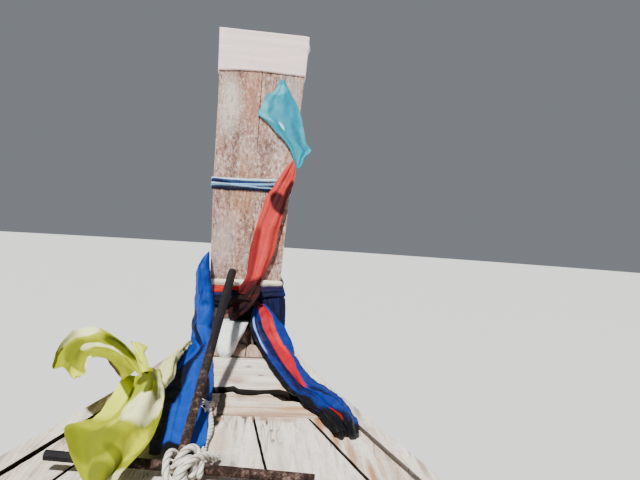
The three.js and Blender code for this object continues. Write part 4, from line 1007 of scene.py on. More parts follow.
class Shader:
    """A node material, whose colour is laid on coat by coat."""

    def __init__(self, name, tone=None):
        self.material = bpy.data.materials.new(name)
        self.material.use_nodes = True
        self.tree = self.material.node_tree
        self.tree.nodes.clear()
        self.surface = self.tree.nodes.new("ShaderNodeBsdfPrincipled")
        out = self.tree.nodes.new("ShaderNodeOutputMaterial")
        self.tree.links.new(self.surface.outputs[0], out.inputs["Surface"])
        self.object = self.node("TexCoord", out="Object")
        self.uv = self.node("TexCoord", out="UV")
        self.tone = tone

    def feed(self, socket, value):
        if isinstance(value, Wire):
            self.tree.links.new(value.socket, socket)
        elif value is not None:
            if socket.type == "RGBA" and len(value) == 3:
                value = (*value, 1.0)
            socket.default_value = value

    def node(self, kind, *values, out=0, **settings):
        """A new node's result; settings are its attributes, or inputs where they start with a capital."""
        item = self.tree.nodes.new("ShaderNode" + kind)
        for key, value in settings.items():
            if key[0].isupper():
                self.feed(item.inputs[key], value)
            else:
                setattr(item, key, value)
        for socket, value in zip(item.inputs, values):
            self.feed(socket, value)
        return Wire(self, item.outputs[out])

    def stretch(self, scale, shift=(0, 0, 0), turn=(0, 0, 0), source=None):
        return self.node("Mapping", source or self.object, shift, turn, scale)

    def noise(self, vector, scale=1.0, detail=4.0, rough=0.55, distort=0.0):
        return self.node("TexNoise", vector, Scale=scale, Detail=detail, Roughness=rough, Distortion=distort, out="Fac")

    def wave(self, scale, direction, distort=0.0):
        return self.node("TexWave", self.object, Scale=scale, Distortion=distort, bands_direction=direction, out="Fac")

    def mix(self, factor, a, b):
        return self.node("Mix", factor, *[None] * 5, a, b, data_type="RGBA", out=2)

    def lay(self, mask, colour):
        self.tone = self.mix(mask, self.tone, colour)

    def bump(self, height, strength, distance, normal=None):
        return self.node("Bump", Height=height, Strength=strength, Distance=distance, Normal=normal)

    def soft_edges(self, radius):
        return self.node("Bevel", radius, samples=6)

    def toward(self, way, source=None):
        """How nearly a normal, the face's own by default, points one way."""
        source = source or self.node("NewGeometry", out="Normal")
        return self.node("VectorMath", source, way, operation="DOT_PRODUCT", out="Value")

    def edge_mask(self, radius):
        """Near 1 on sharp edges and 0 on flats."""
        return self.toward(self.node("NewGeometry", out="Normal"), self.soft_edges(radius)).ramp(0.72, 1, 0.985, 0)

    def facing(self, way):
        """1 on faces that look one way; "sides" takes every upright face."""
        if way == "sides":
            return abs(self.node("NewGeometry", out="Normal").parts()[2]).ramp(0.45, 1, 0.75, 0)
        return self.toward(way).ramp(0.55, 0, 0.8, 1)

    def spot(self, centre, reach, source=None, turn=0.0):
        """1 at a place on the object, falling to 0 at reach = (x, y, z) from it, and turned about z."""
        near = self.node("Mapping", source or self.object, centre, (0, 0, turn), reach, vector_type="TEXTURE")
        return self.node("VectorMath", near, operation="LENGTH", out="Value").ramp(0.35, 1, 1, 0)

    def finish(self, **inputs):
        for key, value in {"Base_Color": self.tone, **inputs}.items():
            self.feed(self.surface.inputs[key.replace("_", " ")], value)
        return self.material


def dim(colour, share):
    return tuple(q * share for q in colour)


def paint(node_or_object, material):
    item = NODES[node_or_object] if isinstance(node_or_object, str) else node_or_object
    item.data.materials.clear()
    item.data.materials.append(material)


# Wood.
GRAIN = {"x": (0.05, 1, 1), "y": (1, 0.05, 1), "z": (1, 1, 0.05)}


def wood(name, tones, grain="x", seed=0.0, grey=0.35, crack=0.5, fine=170, rough=0.8, relief=1.0, lean=0.0,
         stain=0.25, tints=(), lines=(), tide=False, speckle=0.0, shade_faces=None, soil=0.97, shine=0.3):
    """Weathered timber. tones = (dark, middle, light); grain is the axis that the fibres run along.

    tints are (place, reach, colour, strength); lines are (axis, run, low, high, from, to) with axes by number."""
    s = Shader(name)
    squeeze = GRAIN[grain]
    shift = (seed * 3.1, seed * 5.7, seed * 2.3)
    turn = (0, lean, 0)

    def grown(factor, *look):
        return s.noise(s.stretch(tuple(q * factor for q in squeeze), shift, turn), 1.0, *look)

    base = s.stretch((1, 1, 1), shift, turn)
    bands = grown(26, 7, 0.62, 0.6)
    broad = grown(9, 4, 0.5, 0.8)
    fibres = grown(fine, 5, 0.7)
    patches = s.noise(base, 3.2, 5, 0.6)
    blots = s.noise(base, 11.0, 6, 0.7)
    dark, middle, light = tones
    s.tone = bands.ramp(0.3, dark, 0.5, middle, 0.68, light)
    s.lay(broad.ramp(0.35, 0, 0.7, 0.55), light)
    s.lay(patches.ramp(0.42, 0, 0.62, 1) * grey, tuple(0.55 * sum(middle) / 3 + 0.1 + 0.02 * k for k in (1, 0, 0.5)))
    s.lay(fibres.ramp(0.35, 1, 0.52, 0) * 0.42, dim(dark, 0.35))
    s.lay(blots.ramp(0.55, 0, 0.72, 1) * stain, dim(dark, 0.5))
    if speckle:
        grit = s.noise(s.stretch((1, 1, 0.55), shift, turn), 120, 5, 0.8)
        s.lay(grit.ramp(0.34, 1, 0.48, 0) * speckle, dim(dark, 0.55))
        s.lay(grit.ramp(0.54, 0, 0.68, 1) * speckle, (0.86, 0.80, 0.78))
    for centre, reach, tint, strength in tints:
        mark = s.spot(centre, reach) * bands.ramp(0.3, 1, 0.65, 0.45)
        s.lay((mark * strength).clamped(), tint)
    for axis, run, low, high, first, last in lines:
        place = s.object.parts()
        side = place[axis] + (broad - 0.5) * 0.004
        s.lay(side.between(low, high, 0.0006) * place[run].between(first, last, 0.012), (0.012, 0.008, 0.006))
    if tide:
        level = s.object.parts()[2] + (patches - 0.5) * 0.12
        s.lay(level.between(-2.0, 0.045, 0.012) * 0.85, (0.035, 0.036, 0.020))
        s.lay(level.between(0.05, 0.085, 0.02) * 0.35, (0.50, 0.46, 0.38))
    split_map = s.stretch(tuple(q * 46 * (0.35 if q < 1 else 1) for q in squeeze), shift, turn)
    split = abs(s.noise(split_map, detail=2, rough=0.4) - 0.5).ramp(0, 1, 0.012, 0)
    split = split * s.noise(base, 6.0, 2).ramp(0.5, 0, 0.56, 1) * crack
    s.lay(split, (0.035, 0.024, 0.018))
    s.lay(s.edge_mask(0.006) * (blots.ramp(0.3, 0.3, 0.6, 1) * 0.5), tuple(min(1, q * 1.25 + 0.05) for q in light))
    # Painted shade: faces that look the chosen way, or every upright face, are laid near black and lose their gloss.
    # They stand for the shade in the gaps between boards and on the gunwales' inner faces.
    gloss = shine
    if shade_faces:
        face_shade = s.facing(shade_faces) * soil
        s.lay(face_shade, (0.006, 0.004, 0.003))
        gloss = (1.0 - face_shade) * shine
    height = fibres * 0.5 + bands * 0.9 - split * 1.6
    return s.finish(Roughness=fibres.ramp(0.3, rough + 0.12, 0.7, rough - 0.1), Specular_IOR_Level=gloss,
                    Normal=s.bump(height, 0.55 * relief, 0.0022, s.soft_edges(0.004)))


TONES = {
    "post": ((0.12, 0.045, 0.026), (0.38, 0.185, 0.125), (0.70, 0.49, 0.41)),
    "deck": ((0.52, 0.41, 0.31), (0.84, 0.76, 0.66), (0.97, 0.93, 0.87)),
    "warm": ((0.34, 0.18, 0.09), (0.66, 0.47, 0.31), (0.90, 0.78, 0.62)),
    "rail": ((0.34, 0.21, 0.13), (0.76, 0.62, 0.50), (0.96, 0.90, 0.82)),
    "block": ((0.17, 0.07, 0.045), (0.42, 0.26, 0.19), (0.62, 0.46, 0.37)),
    "hull": ((0.10, 0.045, 0.022), (0.22, 0.105, 0.05), (0.34, 0.19, 0.105)),
    "inside": ((0.16, 0.095, 0.055), (0.30, 0.19, 0.12), (0.42, 0.29, 0.20)),
    "shadow": ((0.002, 0.001, 0.001), (0.004, 0.003, 0.002), (0.008, 0.005, 0.004)),
}
BROWN, RUST, SOOT, PALE = (0.30, 0.15, 0.08), (0.42, 0.20, 0.09), (0.05, 0.035, 0.028), (0.80, 0.76, 0.72)
POST_TINTS = [                      # mm: x, y, z, reach in y and z; then colour and strength
    (4990, 20, 1900, 35, 170, (0.40, 0.17, 0.11), 0.75), (4930, 20, 1620, 50, 100, RUST, 0.5),
    (5000, 95, 1850, 50, 140, PALE, 0.75), (4980, -110, 1880, 50, 200, (0.56, 0.52, 0.50), 0.6),
    (4900, 30, 1530, 55, 70, RUST, 0.6), (4870, 75, 1400, 50, 120, (0.60, 0.50, 0.50), 0.5),
    # Painted shadow: the rows at 1135 and 1165 mm lay near black on the post's foot below the wrap.
    (4860, -20, 1360, 50, 70, (0.55, 0.45, 0.42), 0.4), (4810, -60, 1135, 55, 70, (0.004, 0.003, 0.003), 2.0),
    (4810, 0, 1165, 75, 35, (0.004, 0.003, 0.003), 1.8)]
CROSS_TINTS = [                     # mm: x, y, z, reach in x and y; then colour and strength
    (4316, -90, 1060, 14, 170, (0.40, 0.22, 0.15), 1.3), (4400, -30, 1060, 30, 60, BROWN, 0.5),
    (4345, -130, 1060, 30, 50, (0.50, 0.26, 0.12), 0.9), (4370, -20, 1060, 30, 50, PALE, 0.6),
    (4400, -20, 1060, 35, 14, (0.30, 0.20, 0.15), 0.8), (4355, -85, 1060, 8, 40, PALE, 0.9),
    (4360, 30, 1060, 30, 30, (0.46, 0.27, 0.16), 0.8), (4362, -75, 1060, 4, 30, BROWN, 0.9),
    # Painted shadow: the near-black row below is the anchor shank's shadow across this board.
    (4360, 19, 1060, 110, 11, (0.006, 0.005, 0.005), 3.0)]
FORE_TINTS = [
    (4500, -5, 1080, 35, 35, (0.40, 0.19, 0.11), 1.1), (4595, -30, 1080, 14, 12, SOOT, 0.8),
    (4480, -70, 1080, 25, 50, (0.56, 0.44, 0.35), 0.8), (4535, -62, 1080, 8, 12, SOOT, 0.8),
    (4470, -130, 1080, 50, 35, (0.60, 0.34, 0.18), 1.0), (4655, -20, 1090, 10, 60, BROWN, 0.7),
    (4560, 30, 1080, 50, 20, (0.62, 0.52, 0.36), 0.7)]
BOARD_TINTS = [
    (4292, -34, 1060, 32, 4, SOOT, 1.7), (4301, -31, 1060, 12, 9, SOOT, 1.6), (4281, -76, 1060, 24, 4, SOOT, 1.4),
    # Painted shadow: the near-black row at (4295, 22) is the anchor shank's shadow on the long boards.
    (4294, -70, 1060, 12, 11, SOOT, 1.2), (4295, 22, 1060, 50, 10, (0.006, 0.005, 0.005), 2.6),
    (4290, -118, 1060, 18, 16, BROWN, 1.0), (4244, -85, 1060, 8, 4, SOOT, 1.0), (4206, -88, 1060, 8, 4, SOOT, 1.0),
    (4296, -90, 1060, 22, 80, (0.56, 0.36, 0.24), 0.8), (4288, 14, 1060, 12, 10, BROWN, 0.9),
    (4130, 0, 1050, 30, 50, (0.42, 0.39, 0.36), 0.8), (4200, 10, 1050, 50, 30, (0.60, 0.50, 0.36), 0.6),
    (4120, -20, 1050, 20, 10, SOOT, 0.7)]


def tints(rows, on_the_post=False):
    out = []
    for x, y, z, a, b, colour, strength in rows:
        reach = (0.2, a / 1000, b / 1000) if on_the_post else (a / 1000, b / 1000, 0.1)
        out.append(((x / 1000, y / 1000, z / 1000), reach, colour, strength))
    return out


COVER_TINTS = [((x, -beam_inside(x) + inset, 1.05), reach, colour, strength) for xs, inset, reach, colour, strength in [
    ((4.29, 4.22, 4.16, 4.09, 4.01, 3.92), 0.067, (0.07, 0.010, 0.1), (0.36, 0.15, 0.055), 1.2),
    ((4.24, 4.12, 3.98), 0.036, (0.08, 0.006, 0.1), (0.50, 0.30, 0.18), 0.9),
] for x in xs] + [((4.28, -0.19, 1.06), (0.03, 0.02, 0.1), (0.42, 0.20, 0.14), 0.8)]
RAIL_TINTS = [((x, side * (along(1, x) - 0.012), 1.06), (0.05, 0.008, 0.1), SOOT, 0.8)
              for side in (-1, 1) for x in (4.33, 4.12, 3.9, 3.6)]
# Settings below that pick faces lay painted shade on them: the boards' upright faces and the gunwales' inner faces,
# near black.
TIMBERS = [                         # node or board, tones, grain, settings; the order sets the seeds
    ("bow_block", "block", "x", {"lines": [(1, 0, -0.0190, -0.0158, 4.6, 4.9), (0, 1, 4.669, 4.6755, -0.2, 0.2)]}),
    ("plank_a", "deck", "y", {"tints": tints(FORE_TINTS), "shade_faces": "sides"}),
    ("plank_b", "warm", "y", {"tints": tints(CROSS_TINTS)}),
    ("beam", "shadow", "y", {"shine": 0.0}),
    ("long_port", "deck", "x", {"tints": tints(BOARD_TINTS), "shade_faces": "sides"}),
    ("long_star", "deck", "x", {"tints": tints(BOARD_TINTS), "shade_faces": "sides"}),
    ("deck_board_outer_port", "deck", "x", {}),
    ("deck_board_outer_starboard", "deck", "x", {}),
    ("cover_port", "rail", "x", {"shade_faces": "sides"}),
    ("cover_star", "rail", "x", {"tints": COVER_TINTS, "shade_faces": "sides"}),
    ("gunwale_port", "rail", "x", {"tints": RAIL_TINTS, "shade_faces": (0, -1, 0)}),
    ("gunwale_starboard", "rail", "x", {"tints": RAIL_TINTS, "shade_faces": (0, 1, 0), "soil": 0.75}),
    ("stern_beam", "warm", "y", {}), ("aft_deck", "deck", "x", {}), ("floorboards", "deck", "x", {}),
    ("benches", "warm", "y", {}), ("frames", "inside", "y", {}),
]


def dress_wood():
    lines = [(1, 2, -0.0085, -0.0060, 1.70, 1.99), (1, 2, -0.112, -0.1105, 1.50, 1.60)]
    paint("stem_post", wood("post_wood", TONES["post"], "z", 1.0, crack=0.7, lean=-0.235, relief=1.6, stain=0.2,
                            fine=210, speckle=0.95, tints=tints(POST_TINTS, True), lines=lines))
    for i, (key, tones, grain, settings) in enumerate(TIMBERS):
        item = BOARDS.get(key) or NODES[key]
        name = BOARDS[key].name if key in BOARDS else key
        near = key in BOARDS or key.startswith(("gunwale", "bow"))
        paint(item, wood(name, TONES[tones], grain, 2.0 + i, crack=0.6, grey=0.12, stain=0.12,
                         speckle=0.3 if near else 0.0, **settings))
    for side in ("port", "starboard"):
        for i in ("1", "2", "3", "3_aft", "4", "5"):
            name = f"strake_{side}_{i}"
            paint(name, wood(name, TONES["hull"], "x", 20.0 + int(i[0]), grey=0.15, crack=0.35, rough=0.5, relief=0.6,
                             tide=True))
    paint("keel", wood("keel", TONES["hull"], "x", 31.0, grey=0.3, tide=True))
    paint("transom", wood("transom", TONES["hull"], "y", 32.0, grey=0.15, rough=0.5, tide=True))


def chalky_paint(name, colour, under, seed, grain, worn):
    """Old paint on wood: streaked along the grain, thin on the edges."""
    s = Shader(name)
    shift = (seed, seed * 2, seed * 3)
    streaks = s.noise(s.stretch(dim(GRAIN[grain], 60), shift), detail=6, rough=0.65)
    chips = s.noise(s.stretch((1, 1, 1), shift), 38, 8, 0.7)
    s.tone = streaks.ramp(0.3, dim(colour, 0.8), 0.6, colour)
    s.lay((chips.ramp(0.55, 0, 0.66, 1) * worn).most(s.edge_mask(0.004) * worn), under)
    return s.finish(Roughness=0.75, Normal=s.bump(streaks + chips, 0.35, 0.0012, s.soft_edges(0.003)))


# Metal and plastic.
def rusty(name, base, seed, amount, metal, rough):
    s = Shader(name, base)
    place = s.stretch((1, 1, 1), (seed, seed, seed))
    clouds = s.noise(place, 14, 8, 0.7)
    pits = s.noise(place, 160, 5, 0.75)
    flakes = s.noise(place, 60, 6, 0.7)
    rust = flakes.ramp(0.3, (0.06, 0.026, 0.016), 0.5, (0.14, 0.065, 0.038), 0.7, (0.26, 0.14, 0.085))
    mask = clouds.ramp(0.62 - amount * 0.4, 0, 0.72 - amount * 0.3, 1)
    s.lay(mask, rust)
    return s.finish(Metallic=(1.0 - mask) * metal, Roughness=s.mix(mask, (rough,) * 3, (0.9,) * 3),
                    Normal=s.bump(pits * 0.6 + clouds, 0.5, 0.0015, s.soft_edges(0.003)))


def painted_metal(name, base, seed, grime):
    s = Shader(name, base)
    place = s.stretch((1, 1, 1), (seed, seed, seed))
    dirt = s.noise(place, 9, 7, 0.7)
    speckle = s.noise(place, 220, 3)
    s.lay(dirt.ramp(0.45, 0, 0.7, 1) * grime, (0.03, 0.024, 0.02))
    s.lay(s.edge_mask(0.004) * 0.6, (0.33, 0.31, 0.29))
    return s.finish(Metallic=0.15, Roughness=dirt.ramp(0.3, 0.38, 0.7, 0.7),
                    Normal=s.bump(speckle + dirt, 0.18, 0.0008, s.soft_edges(0.003)))


def plastic(name, base):
    s = Shader(name, base)
    scuff = s.noise(s.object, 40, 8, 0.7)
    s.lay(scuff.ramp(0.5, 0, 0.75, 0.5), tuple(min(1, q * 1.4 + 0.12) for q in base))
    return s.finish(Roughness=0.42, Normal=s.bump(scuff, 0.15, 0.001, s.soft_edges(0.008)))


def iron_bars():
    """The anchor: black paint at the head of the shank, rust below."""
    s = Shader("anchor_bars")
    clouds = s.noise(s.object, 30, 8, 0.7)
    pits = s.noise(s.object, 210, 6, 0.8)
    s.tone = s.noise(s.object, 90, 6, 0.75).ramp(0.3, (0.008, 0.004, 0.004), 0.48, (0.030, 0.017, 0.014),
                                                 0.60, (0.12, 0.072, 0.058), 0.72, (0.42, 0.33, 0.30))
    black = s.mix(clouds.ramp(0.45, 0, 0.75, 1), (0.006, 0.007, 0.009), (0.018, 0.016, 0.017))
    _, y, z = s.object.parts()
    painted = ((z + clouds * 0.10) * 0.5).ramp(0.575, 0, 0.62, 1).most(y.ramp(0.10, 0, 0.16, 1))
    s.lay(painted, black)
    return s.finish(Metallic=0.0, Roughness=s.mix(painted, (0.9,) * 3, (0.6,) * 3), Specular_IOR_Level=0.2,
                    Normal=s.bump(pits + clouds, 0.6, 0.0016))


POLE = (0.42, 0.45, 0.45)
METALS = {                          # node: finish, name, colour, seed and the finish's own settings
    **{name: (rusty, name + "_steel", (0.30, 0.29, 0.28), 5.0 + i, 0.42, 0.7, 0.45) for i, name in
       enumerate(["swivel_yoke", "engine_cradle", "tail_tube", "tiller"])},
    "exhaust": (rusty, "exhaust_iron", (0.12, 0.09, 0.08), 9.0, 0.85, 0.3, 0.7),
    "pulleys": (rusty, "pulley_iron", (0.05, 0.05, 0.052), 10.0, 0.25, 0.5, 0.5),
    "alternator": (rusty, "alternator_case", (0.45, 0.45, 0.44), 11.0, 0.2, 0.8, 0.4),
    "propeller": (rusty, "propeller_bronze", (0.55, 0.36, 0.14), 12.0, 0.1, 0.95, 0.3),
    "engine_block": (painted_metal, "block_paint", (0.05, 0.13, 0.16), 1.0, 0.7),
    "engine_head": (painted_metal, "head_paint", (0.06, 0.15, 0.18), 2.0, 0.5),
    "canopy_side_port": (painted_metal, "canopy_pole_port", POLE, 3.0, 0.3),
    "canopy_side_starboard": (painted_metal, "canopy_pole_starboard", POLE, 3.0, 0.3),
    "canopy_bows": (painted_metal, "canopy_bow", POLE, 4.0, 0.3),
    "fuel_tank": (plastic, "tank_plastic", (0.03, 0.12, 0.42)),
}


# Fittings of the engine, in its own frame of millimetres, pitched with it.
ENGINE = {"x": -4.62, "z": 1.01, "pitch": math.radians(-19)}


def engine_place(point):
    x, y, z = point
    level, rise = math.cos(ENGINE["pitch"]), math.sin(ENGINE["pitch"])
    return Vector((ENGINE["x"] + (x * level + z * rise) / 1000, y / 1000, ENGINE["z"] + (z * level - x * rise) / 1000))


def bolt(centre, axis, size):
    return lathe(centre, axis, [(size, 0), (size, size * 0.6), (size * 0.8, size * 0.8)], 6)


def round_pipe(radius, *route):
    return tube(curve_through(groups(route, 3), 24), lambda i, side, up: circle(side, up, radius, 10))


def turned(centre, axis, profile, sides=28):
    return lathe(centre, axis, groups(profile), sides)


UP, PORT, STARBOARD, AHEAD_WAY = (0, 0, 1), (0, 1, 0), (0, -1, 0), (1, 0, 0)
BOLTS = [                           # x, y, z, axis, size
    (range(-20, 540, 90), (-86, 86), (262,), UP, 9), ((60, 250, 400), (0,), (319,), UP, 7),
    (range(-40, 560, 100), (-130,), (-70, 168), STARBOARD, 7), (range(-40, 560, 100), (130,), (-70, 168), PORT, 7),
    ((45, 175, 305, 475), (184,), (80, 120), PORT, 7),
]


def make_engine_fittings():
    bolts = [bolt((x, y, z), axis, size) for xs, ys, zs, axis, size in BOLTS for x in xs for y in ys for z in zs]
    bolts += [bolt((-60, 118 * math.cos(q), -20 + 118 * math.sin(q)), (-1, 0, 0), 8) for q in
              (math.pi * k / 5 for k in range(10))]
    bolts += [bolt((x, y, -68), UP, 9) for x in (90, 485) for y in (-170, 170)]
    clip = turned((562, 42, 220), (1, 0.4, 0), (17, 0, 18, 2, 18, 12, 17, 14), 20)
    pump = [turned((110, -160, 60), AHEAD_WAY, (20, 0, 26, 6, 26, 150, 34, 156, 34, 200, 26, 210))]
    pump += [turned((130 + 40 * k, -160, 84), UP, (10, 0, 10, 26, 7, 32), 12) for k in range(4)]
    pump += [turned((150, -126, 60), STARBOARD, (24, 0, 24, 30), 16)]
    cap = turned((430, 0, 343), UP, (27, 0, 31, 4, 31, 16, 26, 22, 12, 24), 20)
    lines = [round_pipe(3.5, 130 + 40 * k, -160, 112, 120 + 55 * k, -158, 150, 90 + 105 * k, -132, 205,
                        60 + 125 * k, -100, 236) for k in range(4)]
    intake = turned((90, 0, 318), UP, (26, 0, 26, 30, 70, 36, 76, 42, 76, 104, 70, 112, 30, 116, 30, 126, 16, 130))
    filters = turned((330, -168, 36), UP, (34, 0, 38, 5, 38, 84, 42, 88, 42, 100, 30, 106))
    hoses = [round_pipe(15, 560, 40, 220, 600, 60, 215, 616, 90, 160, 606, 120, 70, 560, 118, 20),
             round_pipe(5, 310, -160, 66, 322, -176, 90, 336, -180, 130, 330, -168, 142)]
    for name, shapes, look, *settings in [
        ("engine_bolts", bolts + [clip], rusty, "bolt_steel", (0.32, 0.30, 0.28), 14.0, 0.45, 0.8, 0.45),
        ("injection_pump", pump + [cap], rusty, "pump_alloy", (0.42, 0.42, 0.40), 15.0, 0.25, 0.8, 0.4),
        ("fuel_lines", lines, rusty, "line_steel", (0.50, 0.48, 0.44), 16.0, 0.2, 0.9, 0.35),
        ("air_cleaner", [intake], painted_metal, "cleaner_paint", (0.025, 0.026, 0.028), 6.0, 0.4),
        ("oil_filter", [filters], painted_metal, "filter_paint", (0.55, 0.20, 0.03), 7.0, 0.5),
        ("rubber_hoses", hoses, plastic, "hose_rubber", (0.012, 0.012, 0.013)),
    ]:
        verts, faces = joined(shapes)
        item = add_piece(name, [engine_place(v) for v in verts], faces,
                         "engine_steel" if look is rusty else "engine_paint", body="engine")
        for face in item.data.polygons:
            face.use_smooth = name != "engine_bolts"
        paint(item, look(*settings))


# Cloth finishes.
def weave_height(s, scale=1.0):
    fine = s.noise(s.object, 900 * scale, 2)
    return s.wave(420 * scale, "X", 1.5) * s.wave(420 * scale, "Z", 1.5) * 0.5 + fine


def fabric(name, colour, shade, glow, seed, rough=0.75, sheen=0.03, streaks=9.0, shine=0.2, patches=(), blots=()):
    """Cloth: colour in the body, painted shade and painted highlight in random streaks along it, and paler clouds that
    are part fading and part painted highlight.

    patches are (low, high) across and (first, last) down the cloth and a colour; blots are in percent, across, down and
    their two reaches, then turn, colour and strength."""
    s = Shader(name)
    across, down, _ = s.uv.parts()
    runs = s.noise(s.stretch((streaks, 1.2, 1), (seed, seed, 0), source=s.uv), 1.0, 5, 0.6, 0.5)
    cloud = s.noise(s.stretch((1, 1, 1), (seed, 0, seed)), 26, 5, 0.6)
    s.tone = runs.ramp(0.28, shade, 0.47, colour, 0.62, colour, 0.8, glow)
    s.lay(cloud.ramp(0.5, 0, 0.8, 0.35), glow)
    for low, high, first, last, patch in patches:
        side = across + (runs - 0.5) * 0.04
        s.lay(side.between(low, high, 0.012) * down.between(first, last, 0.015), patch)
    for u, v, wide, tall, turn, patch, strength in blots:
        mark = s.spot((u / 100, v / 100, 0), (wide / 100, tall / 100, 1), s.uv, turn) + (cloud - 0.5) * 0.5
        s.lay(mark.ramp(0.15, 0, 0.55, 1) * strength, patch)
    return s.finish(Roughness=rough, Sheen_Weight=sheen, Sheen_Roughness=0.4, Specular_IOR_Level=shine,
                    Normal=s.bump(weave_height(s) + runs * 2.0, 0.35, 0.0006))


NAVY, INK, DUSK, WINE = (0.002, 0.005, 0.045), (0.0006, 0.0008, 0.003), (0.001, 0.002, 0.020), (0.05, 0.002, 0.004)
CREAM, OLIVE, GOLD, UMBER = (0.95, 0.96, 0.48), (0.075, 0.090, 0.0), (0.34, 0.38, 0.0), (0.06, 0.035, 0.004)
LEMON, BRASS = (0.74, 0.82, 0.05), (0.17, 0.20, 0.0)
CLOTH_LOOKS = {                     # body, shade, glow, settings; shade and glow are painted shade and painted highlight, and most blots are painted shade and painted highlight on the folds
    "turquoise": ((0.0, 0.26, 0.38), (0.0, 0.19, 0.30), (0.0, 0.36, 0.48), {
        "rough": 0.5, "sheen": 0.0, "streaks": 3, "shine": 0.25, "blots": [
        # Painted highlight: the pale cyan blots; painted shade: the dark teal blot at (70, 60).
        (35, 10, 60, 7, 0, (0.06, 0.56, 0.66), 0.6), (12, 33, 20, 10, 0.5, (0.08, 0.60, 0.70), 0.6),
        (38, 47, 5, 5, 0.6, (0.60, 0.92, 0.95), 0.9), (93, 75, 8, 6, 0, (0.1, 0.55, 0.65), 0.8),
        (70, 60, 20, 20, 0.2, (0.0, 0.14, 0.22), 0.5)]}),
    "red": ((0.58, 0.045, 0.040), (0.30, 0.014, 0.014), (0.76, 0.13, 0.10), {"streaks": 5, "patches": [
        (-1, 2, 0.86, 1.2, (0.07, 0.003, 0.005))], "blots": [
        # Painted shade: the WINE blots; the other dark reds darken the tip, the lower left and the end at the knot.
        (66, 40, 66, 7.5, 0.1, WINE, 1), (90, 32, 36, 14, 0, WINE, 1),
        (42, 6, 10, 4, 0.5, (0.20, 0.008, 0.010), 0.8), (15, 74, 25, 20, 0, (0.18, 0.006, 0.010), 0.8)]}),
    "striped": ((0.002, 0.020, 0.20), NAVY, (0.006, 0.07, 0.42), {"rough": 0.6, "patches": [
        # Painted shade: the INK and NAVY blots on the end and in the folds, and the dark red blot at (56, 85), which is
        # the stripe in shade. Painted highlight: the pale blue patch on the fold and the light red blot on the stripe.
        # The red patch from 0.595 to 0.8 is the cloth's stripe; the navy patch darkens the hollow and the ink patch the
        # left edge.
        (0.3, 0.59, 0.1, 0.6, NAVY), (0.595, 0.8, -0.1, 0.59, (0.44, 0.003, 0.016)),
        (0.13, 0.24, 0.07, 0.31, (0.26, 0.38, 0.78)), (-1, 0.1, 0, 0.62, INK)], "blots": [
        (76, 22, 4, 16, 0, (0.62, 0.05, 0.05), 0.6), (30, 93, 68, 19, 0, INK, 1), (70, 99, 50, 8, 0, INK, 1),
        (10, 70, 22, 16, 0, INK, 1), (56, 85, 12, 4.5, 0.6, (0.26, 0.006, 0.008), 1),
        (47, 62, 8, 14, 0.25, NAVY, 0.9), (80, 66, 6, 8, 0.2, INK, 0.8)]}),
    "port": ((0.001, 0.050, 0.38), (0.001, 0.016, 0.16), (0.004, 0.12, 0.56), {"rough": 0.6, "blots": [
        # Painted shade: all the navy, ink and dusk blots, in the folds and along the dark diagonal.
        (44, 18.5, 12, 1.2, 0.9, NAVY, 1), (52, 25.5, 22, 1, -0.5, NAVY, 0.7), (48, 49, 8, 8, 0.55, INK, 1),
        (5, 62, 46, 8, 0.5, INK, 1), (36, 70, 42, 8.5, -0.52, DUSK, 1), (4, 85, 26, 24, 0, DUSK, 1),
        (30, 44, 34, 7, 0.4, DUSK, 0.9), (86, 76, 10, 10, 0.3, INK, 1), (55, 98.5, 80, 3.5, 0, INK, 1)]}),
    "upper": (GOLD, BRASS, LEMON, {"rough": 0.6, "streaks": 3, "blots": [
        # Painted shade: the olive, umber and brass blots in the curl and its slit; painted highlight: the cream and
        # lemon blots on its edges.
        (22, 28, 26, 22, 0.1, OLIVE, 1), (99, 19, 8, 17, 0, UMBER, 1), (42, 76, 28, 20, 0, BRASS, 0.9),
        (5, 66, 13, 24, 0, CREAM, 1), (95, 70, 15, 18, 0, CREAM, 1), (62, 36, 9, 22, 0, CREAM, 0.9),
        (60, 60, 8, 14, 0.2, CREAM, 0.8), (80, 95, 30, 6, 0, LEMON, 1)]}),
    "lower": (GOLD, BRASS, LEMON, {"rough": 0.6, "streaks": 3, "blots": [
        # Painted shade: the olive and brass blots; painted highlight: the lemon, cream and bright yellow blots.
        (5, 24, 26, 24, 0, LEMON, 1), (66, 34, 36, 17, 0, CREAM, 1), (58, 7, 36, 6, 0, OLIVE, 1),
        (30, 18, 7, 11, -0.5, OLIVE, 1), (66, 16, 5, 10, 0.4, OLIVE, 1), (94, 20, 7, 24, 0, CREAM, 1),
        (30, 62, 46, 16, 0, BRASS, 0.9), (45, 88, 42, 16, 0, BRASS, 1),
        (84, 60, 16, 16, -0.2, (0.62, 0.66, 0.01), 1), (95, 90, 12, 14, -0.3, CREAM, 1),
        (70, 72, 30, 5, 0.3, OLIVE, 0.6)]}),
    "tuft": (LEMON, GOLD, CREAM, {"rough": 0.6, "streaks": 3}),
    "tie": ((0.80, 0.82, 0.34), (0.22, 0.22, 0.01), CREAM, {"rough": 0.6, "streaks": 3, "blots": [
        # Painted shade: the olive and umber blots along the twist.
        (50, 200, 20, 30, 0.4, OLIVE, 0.9), (50, 310, 20, 20, 0.4, UMBER, 0.9)]}),
}
